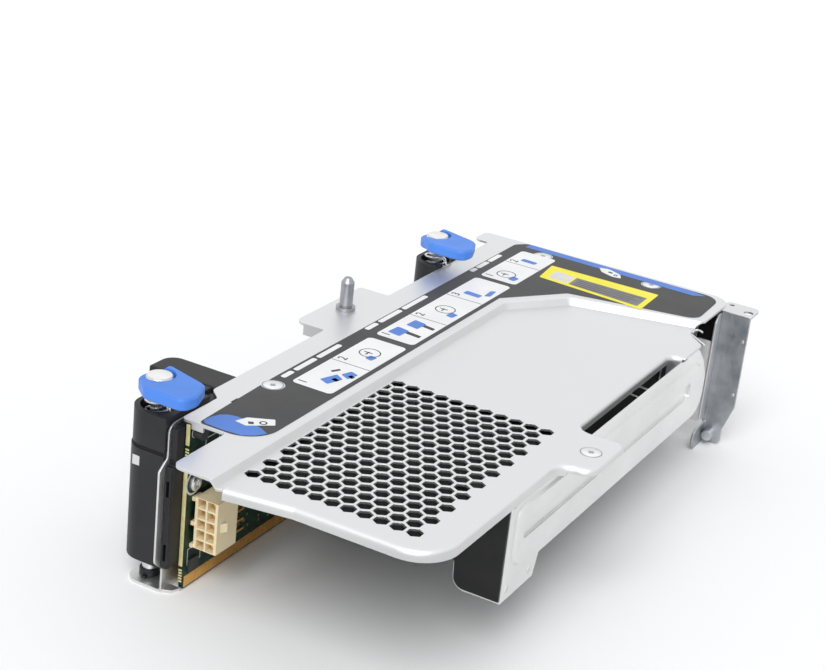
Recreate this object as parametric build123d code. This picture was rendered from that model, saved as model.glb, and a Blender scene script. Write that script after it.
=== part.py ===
from build123d import *
import math
import os

# Riser cage of a two-unit rack server, in millimetres.
# x runs across the cage, y from the deck's front edge to the rear panel, z up from the feet.
# Everything is drawn about the middle of the cage's width, and moved at the end so that the
# origin lies at the bottom centre of the box around the whole part.

# Driving sizes of the cage
cage_width = 124.0          # left deck edge to right deck flange
cage_length = 286.0         # front deck edge to rear deck edge
deck_height = 66.0          # top of the lower deck level above the feet
deck_step = 3.0             # upper deck level above the lower one
sheet = 1.0                 # folded steel sheet
wall_sheet = 1.2            # left wall, which carries the latches
flange_drop = 4.0           # depth of the deck's rolled front and right flange
tongue_lip = 2.6            # depth of the same flange on the tongue
flange_round = 2.5          # outer radius of that bend

# Honeycomb vent
hole_pitch = 6.32
hole_web = 1.05
hole_rows = 19
hole_columns = 11
vent_edge = 15.0            # last hole centre to the right deck edge
vent_front = 12.0           # first hole row to the front deck edge

# Joggle between the deck levels
ridge_inset = 40.5          # left deck edge to the ridge
ridge_run = 2.0             # width of the slope
ridge_round = 1.2
band_bend_y = 210.0         # where the ridge turns across the deck
rear_band = 49.0            # depth of the upper level along the rear edge, at its left end
rear_band_slant = 15.0      # by how much that band narrows towards the right

# Left wall, riser board and what stands on it
wall_inset = 3.6            # deck edge to the wall's outer face
standoff_height = 3.1
board_thickness = 1.6
board_front = 26.3
board_length = 224.0
board_top = 64.0
board_clear = 0.3           # lowest edge of the board above the feet
contact_height = 4.6
contact_pitch = 2.5
contact_width = 1.5
contact_thickness = 0.12
slot_pitch = 20.32
slot_length = 89.0
slot_height = 11.2
slot_width = 7.6
slot_front = 150.0
top_slot_z = 54.0
slot_count = 3

# Power header
header_pitch = 4.2
header_rows = 5
header_columns = 2
header_front = 30.5
header_depth = 12.8
header_top = 37.5
socket_size = 3.4
socket_depth = 9.0
pin_size = 1.0

# Side wall
side_front = 56.0
side_rear = 245.0
side_bottom = 32.0
leg_bottom = 23.5
leg_length = 27.0
emboss_raise = 1.0
return_width = 19.0         # front return flange of the side wall
insulator = 0.8

# Cable cut-out beside the side wall
cut_front = 122.0
cut_rear = 214.0
cut_width = 7.5

# Tongue over the side wall
tongue_reach = 13.0
tongue_front = 91.0

# Rear panel
panel_y = 284.0
window_bottom = 22.0
strip_width = 14.0
rear_flange = 12.0
cover_thickness = 0.9
cover_height = 17.8

# Latches
latch_reach = 9.6           # wall face to the latch axis
front_latch_y = 28.0
rear_latch_y = 233.0
housing_radius = 8.5
housing_depth = 24.0        # along the wall, behind the axis
housing_bottom = 9.0
housing_top = 70.0
housing_groove = 56.0
bore_radius = 6.5
seat_z = 54.0               # spring seat inside the housing
seat_thickness = 2.0
shaft_radius = 3.0
shaft_clearance = 0.08
spring_radius = 4.6
spring_wire = 1.0
spring_turns = 5.5
spring_chords = 16          # straight chords in one turn of the spring
spring_top = 75.5
washer_thickness = 0.8
handle_thickness = 5.7
paddle_thickness = 4.4
paddle_round = 1.1
head_radius = 5.0
head_thickness = 2.2
ring_thickness = 1.4
foot_radius = 6.2

# Small fixed pieces
pin_radius = 2.75
pin_height = 14.0
screw_head = 4.0
screw_shank = 1.9
screw_play = 0.2
label_thickness = 0.12

# Places that follow from the driving sizes
left_x = -cage_width / 2
right_x = cage_width / 2
upper_z = deck_height + deck_step
wall_x = left_x + wall_inset
wall_in = wall_x + wall_sheet
board_back = wall_in + standoff_height
board_face = board_back + board_thickness
ridge_x = left_x + ridge_inset
join_x = ridge_x + ridge_run + 2
side_out = right_x - sheet
side_in = side_out - sheet
tongue_x = right_x + tongue_reach
cut_x = right_x - cut_width
latch_x = wall_x - latch_reach
flange_z = upper_z - sheet                  # top of what is screwed under the upper level
under_z = deck_height - sheet               # underside of the lower level
slot_zs = [top_slot_z - i * slot_pitch for i in range(slot_count)]
deck_jog_y = 48.0                           # where the deck's left edge steps out over the wall
tab_y = 130.0
tab_length = 51.0
tab_reach = 14.0
pin_place = (left_x - 5.5, tab_y + 25)
left_screw = (left_x + 14.2, 71.3)
rear_screws = [(left_x + 27.5, cage_length - 10.2), (left_x + 81.0, cage_length - 8.7)]
tongue_screw = (right_x + 5.2, tongue_front + 15)


def outline(points):
    """A face from corner points (a, b, radius)."""
    corners = [(a, b) for a, b, r in points]
    radii = [r for a, b, r in points]
    if max(radii) == 0:
        return make_face(Polyline(*corners, close=True))
    return make_face(FilletPolyline(*corners, radius=radii, close=True))


def flat_plate(points, z_low, z_high):
    """A plate whose outline is given as x, y, radius."""
    return extrude(Pos(0, 0, z_low) * outline(points), z_high - z_low)


def side_plate(points, x_low, x_high):
    """A plate across x whose outline is given as y, z, radius."""
    plane = Plane(origin=(x_low, 0, 0), x_dir=(0, 1, 0), z_dir=(1, 0, 0))
    return extrude(plane * outline(points), x_high - x_low)


def cross_plate(points, y_low, y_high):
    """A plate across y whose outline is given as x, z, radius."""
    plane = Plane(origin=(0, y_high, 0), x_dir=(1, 0, 0), z_dir=(0, -1, 0))
    return extrude(plane * outline(points), y_high - y_low)


def block(x_low, x_high, y_low, y_high, z_low, z_high):
    box = Box(x_high - x_low, y_high - y_low, z_high - z_low, align=(Align.MIN, Align.MIN, Align.MIN))
    return Pos(x_low, y_low, z_low) * box


def upright(x, y, radius, z_low, z_high):
    post = Cylinder(radius, z_high - z_low, align=(Align.CENTER, Align.CENTER, Align.MIN))
    return Pos(x, y, z_low) * post


def across(x_low, x_high, y, z, radius):
    """A round bar along x."""
    post = Cylinder(radius, x_high - x_low, align=(Align.CENTER, Align.CENTER, Align.MIN))
    return Pos(x_low, y, z) * Rot(0, 90, 0) * post


def along(x, z, radius, y_low, y_high):
    """A round bar along y."""
    post = Cylinder(radius, y_high - y_low, align=(Align.CENTER, Align.CENTER, Align.MIN))
    return Pos(x, y_low, z) * Rot(-90, 0, 0) * post


# Deck

def pan_corners(inset):
    """Lower level with its flanged front, right, tongue and cut-out edges moved inwards."""
    open_x = join_x - inset
    return [
        (open_x, -4.2 + inset, 0),
        (right_x - 54, inset, 0),
        (right_x - inset, inset, 15 - inset),
        (right_x - inset, tongue_front + inset, 7 + inset),
        (tongue_x - inset, tongue_front + inset, 6 - inset),
        (tongue_x - inset, cut_front - inset, 4 - inset),
        (cut_x - inset, cut_front - inset, 6 + inset),
        (cut_x - inset, cut_rear + inset, 4 + inset),
        (side_out + inset, cut_rear + inset, 0),
        (side_out + inset, cut_rear + 5 + inset, 0),
        (right_x - 22, cut_rear + 5 + inset, 0),
        (right_x - 22, band_bend_y - 10 + inset, 0),
        (open_x, band_bend_y - 10 + inset, 0),
    ]


def pan_shell(inset, top, bend):
    """Prism of the lower level with its flanged edges rounded outside and chamfered inside."""
    body = flat_plate(pan_corners(inset), deck_height - flange_drop, top)
    limit = cut_rear + 1.2
    edges = [e for e in body.edges()
             if abs(e.center().Z - top) < 0.01
             and abs(e.center().X - (join_x - inset)) > 0.5
             and e.center().Y < limit + inset
             and abs(e.center().Y - (band_bend_y - 10 + inset)) > 0.5
             and not (e.center().X < right_x - 20 and e.center().Y > cut_front)]
    return fillet(edges, bend) if inset == 0 else chamfer(edges, bend * 0.6)


def deck_terrain(shift):
    """Solid under the upper surface of both levels, lowered by shift."""
    far = 400.0
    slope = ridge_run
    corners = [
        (-far, -far, 0),
        (ridge_x + slope, -far, 0),
        (ridge_x + slope, band_bend_y, 4),
        (ridge_x + 18.5 + slope, cage_length - rear_band - slope, 4),
        (right_x - 8, cage_length - rear_band + rear_band_slant - slope, 0),
        (far, cage_length - rear_band + rear_band_slant + 90 - slope, 0),
        (far, far + 200, 0),
        (-far, far + 200, 0),
    ]
    taper = math.degrees(math.atan(ridge_run / deck_step))
    upper = extrude(Pos(0, 0, deck_height) * outline(corners), deck_step, taper=taper)
    ridge = [e for e in upper.edges()
             if abs(e.center().Z - upper_z) < 0.01
             and e.center().X > ridge_x - 1 and e.center().X < far - 10 and e.center().Y < far - 10]
    upper = fillet(ridge, ridge_round)
    slab = block(-far, far, -far, far, deck_height - 20, deck_height)
    return Pos(0, 0, -shift) * (slab + upper)


def honeycomb():
    """Prisms of the vent's hexagons, and of the half ones beside the joggle."""
    across_flats = hole_pitch - hole_web
    row_pitch = hole_pitch * math.sqrt(3) / 2
    first_x = right_x - vent_edge
    prisms = []
    clip_x = ridge_x + ridge_run + 0.7
    hexagon = Rot(0, 0, 90) * RegularPolygon(across_flats / 2, 6, major_radius=False)
    for row in range(hole_rows):
        odd = row % 2
        count = hole_columns - odd
        y = vent_front + row * row_pitch
        for column in range(count):
            x = first_x - hole_pitch * (column + odd / 2)
            prisms.append(Pos(x, y, deck_height - 3) * extrude(hexagon, 6))
        if odd and row >= hole_rows // 4:
            x = first_x - hole_pitch * (count + odd / 2)
            part = Pos(x, y, deck_height - 3) * extrude(hexagon, 6)
            keep = block(clip_x, clip_x + 10, y - 5, y + 5, deck_height - 3, deck_height + 3)
            prisms.append(part & keep)
    return prisms


def countersink(place, z_top, head=screw_head):
    """Flat screw head sunk through one sheet."""
    x, y = place
    cone = Cone(head - sheet, head, sheet, align=(Align.CENTER, Align.CENTER, Align.MAX))
    return Pos(x, y, z_top) * cone


def deck():
    corners = [
        (ridge_x - 16, -5.5, 4),
        (ridge_x, -5.5, 0),
        (join_x, -4.2, 0),
        (join_x, band_bend_y - 10, 0),
        (right_x - 22, band_bend_y - 10, 0),
        (right_x - 22, cut_rear + 5, 0),
        (side_out, cut_rear + 5, 0),
        (side_out, cut_rear + 19, 2),
        (right_x - 9.6, cut_rear + 27.5, 5),
        (right_x - 10.5, cut_rear + 36, 1),
        (right_x - 7.5, cut_rear + 39, 1),
        (right_x - 7.5, cage_length, 9),
        (left_x - 7.5, cage_length, 3),
        (left_x - 7.5, cage_length - 12, 3),
        (left_x, cage_length - 12, 1.5),
        (left_x, tab_y + tab_length, 1),
        (left_x - tab_reach, tab_y + tab_length, 1.5),
        (left_x - tab_reach, tab_y, 4),
        (left_x, tab_y, 1),
        (left_x, deck_jog_y + 5, 3),
        (left_x + 5.5, deck_jog_y, 2),
        (left_x + 5.5, 26, 2),
        (ridge_x - 16, 26, 1.5),
    ]
    plan = flat_plate(corners, deck_height - 10, upper_z + 5)
    levels = (deck_terrain(0) - deck_terrain(sheet)) & plan
    pan = pan_shell(0, deck_height, flange_round)
    pan -= Pos(0, 0, -sheet) * pan_shell(sheet, deck_height, flange_round - sheet)
    body = levels + pan
    body -= block(right_x + 1, tongue_x + 1, tongue_front - 1, cut_front + 1, under_z - 8, deck_height - tongue_lip)
    # Short flange under the side tab's front edge, and the turned-down tip of the left band
    tab_x = left_x - tab_reach
    body += block(tab_x + 4, left_x - 1, tab_y, tab_y + sheet, upper_z - 5, upper_z - sheet)
    body += block(board_face + 0.5, left_x + 15, 26, 26 + sheet, upper_z - 3, upper_z - sheet)
    # The side wall passes through the lips at both ends of the cut-out
    for y in (cut_front - flange_round, cut_rear):
        body -= block(side_in - 0.3, side_out + 0.3, y - 0.1, y + flange_round + 0.1, under_z - 8, under_z)
    body -= honeycomb()
    body -= block(left_x + 10.8, left_x + 12.2, deck_jog_y + 0.5, deck_jog_y + 5, upper_z - 2, upper_z + 1)
    for place in [left_screw] + rear_screws:
        body -= countersink(place, upper_z)
    body -= countersink(tongue_screw, deck_height)
    body -= upright(*pin_place, pin_radius + 0.05, upper_z - 2, upper_z + 1)
    return body


def deck_screws():
    screws = []
    for place, z in [(left_screw, upper_z)] + [(p, upper_z) for p in rear_screws] + [(tongue_screw, deck_height)]:
        head = countersink(place, z)
        shank = upright(*place, screw_shank, z - sheet - 3.5, z - sheet)
        star = extrude(Pos(place[0], place[1], z - 0.8) * RegularPolygon(1.6, 6), 1)
        screws.append(head + shank - star)
    return screws


def deck_label():
    corners = [
        (left_x + 12.4, 27, 2),
        (ridge_x - 3.3, 27, 13),
        (ridge_x - 3.6, band_bend_y + 3, 0),
        (ridge_x + 16.3, cage_length - rear_band + 3, 3),
        (right_x - 11, cage_length - rear_band + rear_band_slant + 0.8, 6),
        (right_x - 12, cage_length - 2.5, 8),
        (left_x + 15, cage_length - 0.8, 3),
        (left_x + 10.8, cage_length - 6, 3),
        (left_x + 10.6, 76, 1),
    ]
    body = flat_plate(corners, upper_z, upper_z + label_thickness)
    for x, y in [left_screw] + rear_screws:
        body -= upright(x, y, screw_head + 0.6, upper_z - 1, upper_z + 1)
    return body


def guide_pin():
    x, y = pin_place
    collar = upright(x, y, pin_radius + 1.3, upper_z, upper_z + 1.5)
    rivet = upright(x, y, pin_radius, upper_z - sheet - 0.8, upper_z)
    post = upright(x, y, pin_radius, upper_z, upper_z + pin_height)
    top = [e for e in post.edges() if e.center().Z > upper_z + pin_height - 0.1]
    return chamfer(top, pin_radius * 0.7, pin_radius * 0.45) + collar + rivet


# Left wall

def foot_corners(y):
    return [
        (wall_x + 0.1, y - 8, 0),
        (latch_x - foot_radius, y - 8, foot_radius - 0.3),
        (latch_x - foot_radius, y + 8, foot_radius - 0.3),
        (wall_x + 0.1, y + 8, 0),
    ]


def left_wall():
    step_y = front_latch_y - 12.2
    front = front_latch_y - 7.6
    corners = [
        (front, flange_z, 4),
        (front, seat_z + 1, 2),
        (step_y, seat_z - 3, 2),
        (step_y, housing_bottom + 5, 2),
        (front, housing_bottom + 1, 1.5),
        (front, 0, 0),
        (front_latch_y + 14, 0, 2),
        (front_latch_y + 22, 8, 2),
        (rear_latch_y - 22, 8, 2),
        (rear_latch_y - 14, 0, 2),
        (panel_y, 0, 0),
        (panel_y, flange_z, 0),
    ]
    body = side_plate(corners, wall_x, wall_in)
    # Inner flange that the deck is screwed to, and the small shelf in front of the board
    body += block(wall_x, wall_x + 17, 54, cage_length - 24, flange_z - sheet, flange_z)
    bend = [e for e in body.edges().filter_by(Axis.Y)
            if abs(e.center().X - wall_x) < 0.01 and abs(e.center().Z - flange_z) < 0.01]
    body = fillet(bend, 0.9)
    shelf = [(wall_x, front, 0), (wall_in + 3, front + 1.5, 3), (board_face, front + 5.5, 0),
             (wall_x, front + 5.5, 0)]
    body += flat_plate(shelf, 0, wall_sheet)
    for y in (front_latch_y, rear_latch_y):
        foot = flat_plate(foot_corners(y), 0, wall_sheet)
        body += foot
        body -= upright(latch_x, y, shaft_radius + shaft_clearance, -1, wall_sheet + 1)
    return body - upright(*left_screw, screw_shank + screw_play, flange_z - 2, flange_z + 1)


def housing_corners(y, grow):
    depth = housing_depth
    left = latch_x - housing_radius - grow
    front = y - housing_radius - grow
    return [
        (wall_x, front, 0),
        (left, front, housing_radius - 0.1 + grow),
        (left, y + depth + grow, 3),
        (wall_x, y + depth + grow, 0),
    ]


def latch_housing(y):
    lower = flat_plate(housing_corners(y, 0.4), housing_bottom, housing_groove - 0.7)
    bottom = [e for e in lower.edges()
              if abs(e.center().Z - housing_bottom) < 0.01 and e.center().X < wall_x - 0.1]
    lower = chamfer(bottom, 1.6, 2.2)
    neck = flat_plate(housing_corners(y, -0.8), housing_groove - 0.7, housing_groove + 0.7)
    upper = flat_plate(housing_corners(y, 0), housing_groove + 0.7, housing_top)
    # The top steps down where the deck's edge passes over it
    body = lower + neck + upper
    body -= block(left_x - 0.4, wall_x + 1, max(y - 20, deck_jog_y - 2), y + 60, flange_z - 0.3, housing_top + 1)
    body -= upright(latch_x, y, bore_radius, seat_z, housing_top + 1)
    body -= upright(latch_x, y, bore_radius, housing_bottom - 1, seat_z - seat_thickness)
    body -= upright(latch_x, y, shaft_radius + shaft_clearance, seat_z - 5, seat_z + 1)
    # Window of the metal clip in the curved front
    wx = latch_x - 2.4
    body -= block(wx - 1.7, wx + 1.7, y - housing_radius - 2, y - bore_radius - 0.9, 48.3, 52.3)
    return body


def housing_clip(y):
    wx = latch_x - 2.4
    return block(wx - 1.6, wx + 1.6, y - bore_radius - 2.1, y - bore_radius - 0.9, 48.4, 52.2)


def latch_shaft(y):
    top = spring_top + washer_thickness + handle_thickness - 0.6
    body = upright(latch_x, y, shaft_radius, 0.5, top)
    groove_low = seat_z - seat_thickness - ring_thickness
    body -= (upright(latch_x, y, shaft_radius + 1, groove_low, groove_low + ring_thickness)
             - upright(latch_x, y, shaft_radius - 0.6, groove_low, groove_low + ring_thickness))
    head = upright(latch_x, y, head_radius, top - head_thickness, top)
    rim = [e for e in head.edges() if abs(e.center().Z - top) < 0.01]
    return body + chamfer(rim, 0.45)


def retaining_ring(y):
    low = seat_z - seat_thickness - ring_thickness
    ring = upright(latch_x, y, shaft_radius + 2, low, low + ring_thickness)
    return ring - upright(latch_x, y, shaft_radius - 0.6, low - 1, low + ring_thickness + 1)


def thrust_washer(y):
    ring = upright(latch_x, y, head_radius + 0.6, spring_top, spring_top + washer_thickness)
    return ring - upright(latch_x, y, shaft_radius + shaft_clearance, spring_top - 1, spring_top + 2)


def latch_spring(y):
    low = seat_z + spring_wire / 2
    height = spring_top - spring_wire / 2 - low
    chords = int(spring_turns * spring_chords)
    points = []
    for i in range(chords + 1):
        angle = 2 * math.pi * i / spring_chords
        points.append((spring_radius * math.cos(angle), spring_radius * math.sin(angle), height * i / chords))
    path = Polyline(*points)
    start = Plane(origin=path @ 0, z_dir=path % 0)
    wire = RegularPolygon(spring_wire / 2 - 0.02, 6)
    coil = sweep(start * wire, path=path, transition=Transition.RIGHT)
    return Pos(latch_x, y, low) * coil


def latch_handle(y):
    """Forked handle: a hub under the shaft's head and a paddle with a round notch for the head."""
    low = spring_top + washer_thickness
    top = low + handle_thickness
    hub_top = top - 0.6 - head_thickness
    hub = upright(latch_x, y, head_radius + 2.4, low, hub_top)
    corners = [
        (-2.2, 9.0, 1.6),
        (17.6, 3.4, 4.5),
        (21.2, -6.5, 6),
        (20.0, -13.4, 4),
        (3.0, -13.4, 4),
        (-2.0, -9.2, 1.8),
    ]
    paddle = flat_plate([(latch_x + a, y + b, r) for a, b, r in corners], top - paddle_thickness, top)
    outer = [e for e in paddle.edges() if abs(e.center().Z - top) < 0.01]
    paddle = chamfer(outer, paddle_round * 0.7)
    under = [e for e in paddle.edges() if abs(e.center().Z - (top - paddle_thickness)) < 0.01]
    paddle = chamfer(under, 0.4)
    body = paddle - upright(latch_x, y - 0.6, head_radius + 1.2, hub_top, top + 1) + hub
    return body - upright(latch_x, y, shaft_radius + shaft_clearance, low - 1, top + 1)


def side_baffle():
    """Moulded block outside the wall, behind the front latch, hollow from below."""
    front = front_latch_y + housing_depth + 4.5
    rear = front + 14
    left = wall_x - 35.5
    low = 26.0
    outer = [(wall_x, front, 0), (left, front, 1), (left, rear, 6), (wall_x, rear, 0)]
    wall = 1.8
    inner = [(wall_x - wall, front + wall, 0), (left + wall, front + wall, 0.5),
             (left + wall, rear - wall, 6 - wall), (wall_x - wall, rear - wall, 0)]
    body = flat_plate(outer, low, flange_z)
    rim = [e for e in body.edges() if abs(e.center().Z - flange_z) < 0.01 and e.center().X < wall_x - 0.1]
    return fillet(rim, 0.8) - flat_plate(inner, low - 1, flange_z - wall)


def inner_block():
    """Moulded backing between the wall and the board, in front of the board."""
    front = front_latch_y - 9
    rear = board_front - 0.3
    corners = [(wall_in, front, 0), (wall_in + 5.8, front + 1, 1), (wall_in + 5.8, rear, 0), (wall_in, rear, 0)]
    body = flat_plate(corners, housing_bottom + 2, seat_z - 2)
    # A thin upper part covers the wall between the board and the latch
    body += block(wall_in, board_back - 0.4, front_latch_y - 6.6, front_latch_y + 22, seat_z - 6, flange_z - 1.6)
    for low, high in ((housing_bottom + 5, housing_bottom + 12), (seat_z - 14, seat_z - 8)):
        body -= block(wall_in + 1.6, wall_in + 3.6, front - 1, front + 3, low, high)
    return body


# Riser board

def board_fixings():
    rear = board_front + board_length - 5
    return [(board_front + 4.2, 43.0), (board_front + 104, 60.0), (board_front + 100, 14.0),
            (rear, 46.0), (rear, 12.0)]


def riser_board():
    rear = board_front + board_length
    tab_end = board_front + 132
    corners = [
        (board_front, flange_z - 0.5, 1),
        (board_front, board_clear + 6, 0),
        (board_front + 0.6, board_clear, 1),
        (tab_end, board_clear, 1),
        (tab_end, board_clear + 6, 0.8),
        (rear, board_clear + 6, 1),
        (rear, board_top, 1),
        (board_front + 10, board_top, 1),
        (board_front + 7, flange_z - 0.5, 1),
    ]
    body = side_plate(corners, board_back, board_face)
    for y, z in board_fixings():
        body -= across(board_back - 1, board_face + 1, y, z, screw_shank + screw_play)
    return body


def edge_contacts():
    pads = []
    count = int((132 - 4) / contact_pitch)
    for i in range(count):
        y = board_front + 3 + i * contact_pitch
        pads.append(block(board_face, board_face + contact_thickness, y, y + contact_width,
                          board_clear + 0.5, board_clear + contact_height))
    return pads


def board_standoffs():
    hexagon = Plane.YZ * RegularPolygon(2.8, 6)
    return [Pos(wall_in, y, z) * extrude(hexagon, standoff_height) for y, z in board_fixings()]


def board_screws():
    screws = []
    for y, z in board_fixings():
        head = across(board_face, board_face + 1.8, y, z, 3.0)
        rim = [e for e in head.edges() if e.center().X > board_face + 1.7]
        head = chamfer(rim, 0.6)
        shank = across(board_back, board_face, y, z, screw_shank)
        socket = Pos(board_face + 0.9, y, z) * extrude(Plane.YZ * RegularPolygon(1.5, 6), 2)
        screws.append(head + shank - socket)
    return screws


def slot_connector(z):
    """Card connector: body with the card groove, its key and end hooks."""
    x_top = board_face + slot_height
    body = block(board_face, x_top, slot_front, slot_front + slot_length, z - slot_width / 2, z + slot_width / 2)
    key_y = slot_front + slot_length - 14.5
    groove = block(x_top - 7.5, x_top + 1, slot_front + 2.5, key_y, z - 0.9, z + 0.9)
    groove += block(x_top - 7.5, x_top + 1, key_y + 1.9, slot_front + slot_length - 2.5, z - 0.9, z + 0.9)
    mouth = [(x_top - 1.0, z - 0.9, 0), (x_top + 0.5, z - 2.4, 0), (x_top + 0.5, z + 2.4, 0), (x_top - 1.0, z + 0.9, 0)]
    body -= groove
    body -= cross_plate(mouth, slot_front + 2.5, key_y)
    hook = [(slot_front, z - 3, 0), (slot_front - 5, z - 3, 0), (slot_front - 5, z + 3, 0), (slot_front, z + 3, 0)]
    body += side_plate(hook, board_face, board_face + 6)
    body += block(board_face + 6, x_top + 2.5, slot_front - 5, slot_front - 3, z - 2.2, z + 2.2)
    return body


def power_header():
    left = board_face + 1.2
    width = 10.0
    low = header_top - header_pitch * header_rows + 0.2
    body = block(left, left + width, header_front, header_front + header_depth, low, header_top)
    for x, z in header_cells():
        half = socket_size / 2
        body -= block(x - half, x + half, header_front - 1, header_front + socket_depth, z - half, z + half)
    # Feet that rest on the board, the latch ramp and the stepped rear shoulder
    for z in (low, low + 9.2, header_top - 1.6):
        body += block(board_face, left, header_front - 0.6, header_front + 4, z, z + 1.6)
    middle = (low + header_top) / 2
    ramp = [(left + width, header_front + 2, 0), (left + width + 1.6, header_front + 4.5, 0),
            (left + width, header_front + 4.5, 0)]
    body += flat_plate(ramp, middle - 1.8, middle + 1.8)
    body += block(board_face, left + width - 2, header_front + header_depth, header_front + header_depth + 3,
                  low + 1, header_top - 1)
    for x, z in header_cells():
        body -= pin_bar(x, z, 0.02)
    return body


def header_cells():
    left = board_face + 1.2
    xs = [left + 2.9 + i * header_pitch for i in range(header_columns)]
    zs = [header_top - header_pitch / 2 - 0.05 + 0.25 - i * header_pitch for i in range(header_rows)]
    return [(x, z - 0.1) for x in xs for z in zs]


def pin_bar(x, z, grow):
    half = pin_size / 2 + grow
    rear = header_front + header_depth + 3
    back = rear + 2.2 + (x - board_face) * 0.35
    straight = block(x - half, x + half, header_front + 2, back, z - half, z + half)
    return straight + block(board_face, x + half, back - 2 * half, back, z - half, z + half)


def header_pins():
    return [pin_bar(x, z, 0) for x, z in header_cells()]


def board_components():
    face = board_face
    parts = [
        across(face, face + 4.0, board_front + 3.6, 63.3, 2.1),
        across(face, face + 7.5, board_front + 30, 30.0, 4.0),
        across(face, face + 7.5, board_front + 30, 41.0, 4.0),
        block(face, face + 1.6, board_front + 44, board_front + 62, 22, 40),
        block(face, face + 1.2, board_front + 72, board_front + 80, 48, 54),
        block(face, face + 1.2, board_front + 72, board_front + 80, 36, 42),
        block(face, face + 3.2, board_front + 84, board_front + 94, 24, 34),
        block(face, face + 1.0, board_front + 12, board_front + 17, 47, 52),
        block(face, face + 1.0, board_front + 20, board_front + 23, 54, 56),
        block(face, face + 0.8, board_front + 3, board_front + 9, 6.5, 11.5),
    ]
    return parts


# Side wall

def side_wall():
    top = under_z
    leg_rear = side_front + leg_length
    corners = [
        (side_front, top, 0),
        (side_front, leg_bottom, 0),
        (leg_rear - 1, leg_bottom, 0.5),
        (leg_rear, leg_bottom + 3, 0.5),
        (leg_rear + 2, side_bottom, 0.5),
        (side_rear, side_bottom, 9),
        (side_rear, top - 17, 6),
        (side_rear - 5, top - 8.5, 3),
        (side_rear - 14, top, 1),
        (cut_rear + 4, top, 0),
        (cut_rear + 4, top - 0.6, 0),
        (cut_front - 3, top - 0.6, 0),
        (cut_front - 3, top, 0),
    ]
    body = side_plate(corners, side_in, side_out)
    front, rear = side_front + 5, side_rear - 7
    low, high = side_bottom + 3, top - 6
    field = [(front, low, 6), (rear, low, 10), (rear, high, 10), (front, high, 6)]
    inner = [(front + 1, low + 1, 5), (rear - 1, low + 1, 9), (rear - 1, high - 1, 9), (front + 1, high - 1, 5)]
    groove_low = low + 10
    groove = [(front + 6, groove_low, 1.5), (rear - 13, groove_low, 1.5),
              (rear - 13, groove_low + 7, 1.5), (front + 6, groove_low + 7, 1.5)]
    back = [(front + 5, groove_low - 1, 2), (rear - 12, groove_low - 1, 2),
            (rear - 12, groove_low + 8, 2), (front + 5, groove_low + 8, 2)]
    pad = side_plate(field, side_out, side_out + emboss_raise)
    rim = [e for e in pad.edges() if e.center().X > side_out + emboss_raise - 0.01]
    body += chamfer(rim, emboss_raise * 0.9)
    body -= side_plate(groove, side_out, side_out + 5)
    body -= side_plate(inner, side_in - 1, side_in + emboss_raise) - side_plate(back, side_in - 1, side_out)
    # Front return, inner top flanges and the tab under the deck's tongue
    inner_x = side_out - return_width
    face = [(side_out, leg_bottom, 0), (inner_x, leg_bottom, 5), (inner_x - 0.5, leg_bottom + 11, 2),
            (inner_x - 3.5, leg_bottom + 14, 2), (inner_x - 3.5, top, 0), (side_out, top, 0)]
    body += cross_plate(face, side_front, side_front + sheet)
    # Relief at the top of the front bend
    body -= block(side_in - 1, side_out + 2, side_front + 1.6, side_front + 3.8, top - 4.6, top - 2.2)
    body += block(side_out - 9, side_out, side_front, cut_front - 3, top - sheet, top)
    body += block(side_out - 9, side_out, cut_rear + 4, side_rear - 15, top - sheet, top)
    # Outer top bend, a little rounder than the inside of the deck's flange
    bend = flange_round - sheet + 0.1
    for low_y, high_y in ((side_front, cut_front - 3), (cut_rear + 4, side_rear - 13)):
        corner = block(side_out - bend, side_out + 1, low_y, high_y, top - bend, top + 1)
        body -= corner - along(side_out - bend, top - bend, bend, low_y, high_y)
    body += block(side_in, tongue_x - 3.6, tongue_front + 4, cut_front - 3.2, top - sheet, top)
    return body - upright(*tongue_screw, screw_shank + screw_play, top - 2, top + 1)


def insulator_sheet():
    inner_x = side_out - return_width
    low = leg_bottom + 1.0
    face = [(side_out - 0.4, low, 0), (inner_x + 0.6, low, 4.4), (inner_x + 0.1, low + 10, 2),
            (inner_x - 3, low + 13.4, 2), (inner_x - 3, under_z - 0.5, 0), (side_out - 0.4, under_z - 0.5, 0)]
    return cross_plate(face, side_front - insulator, side_front)


# Rear panel

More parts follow.
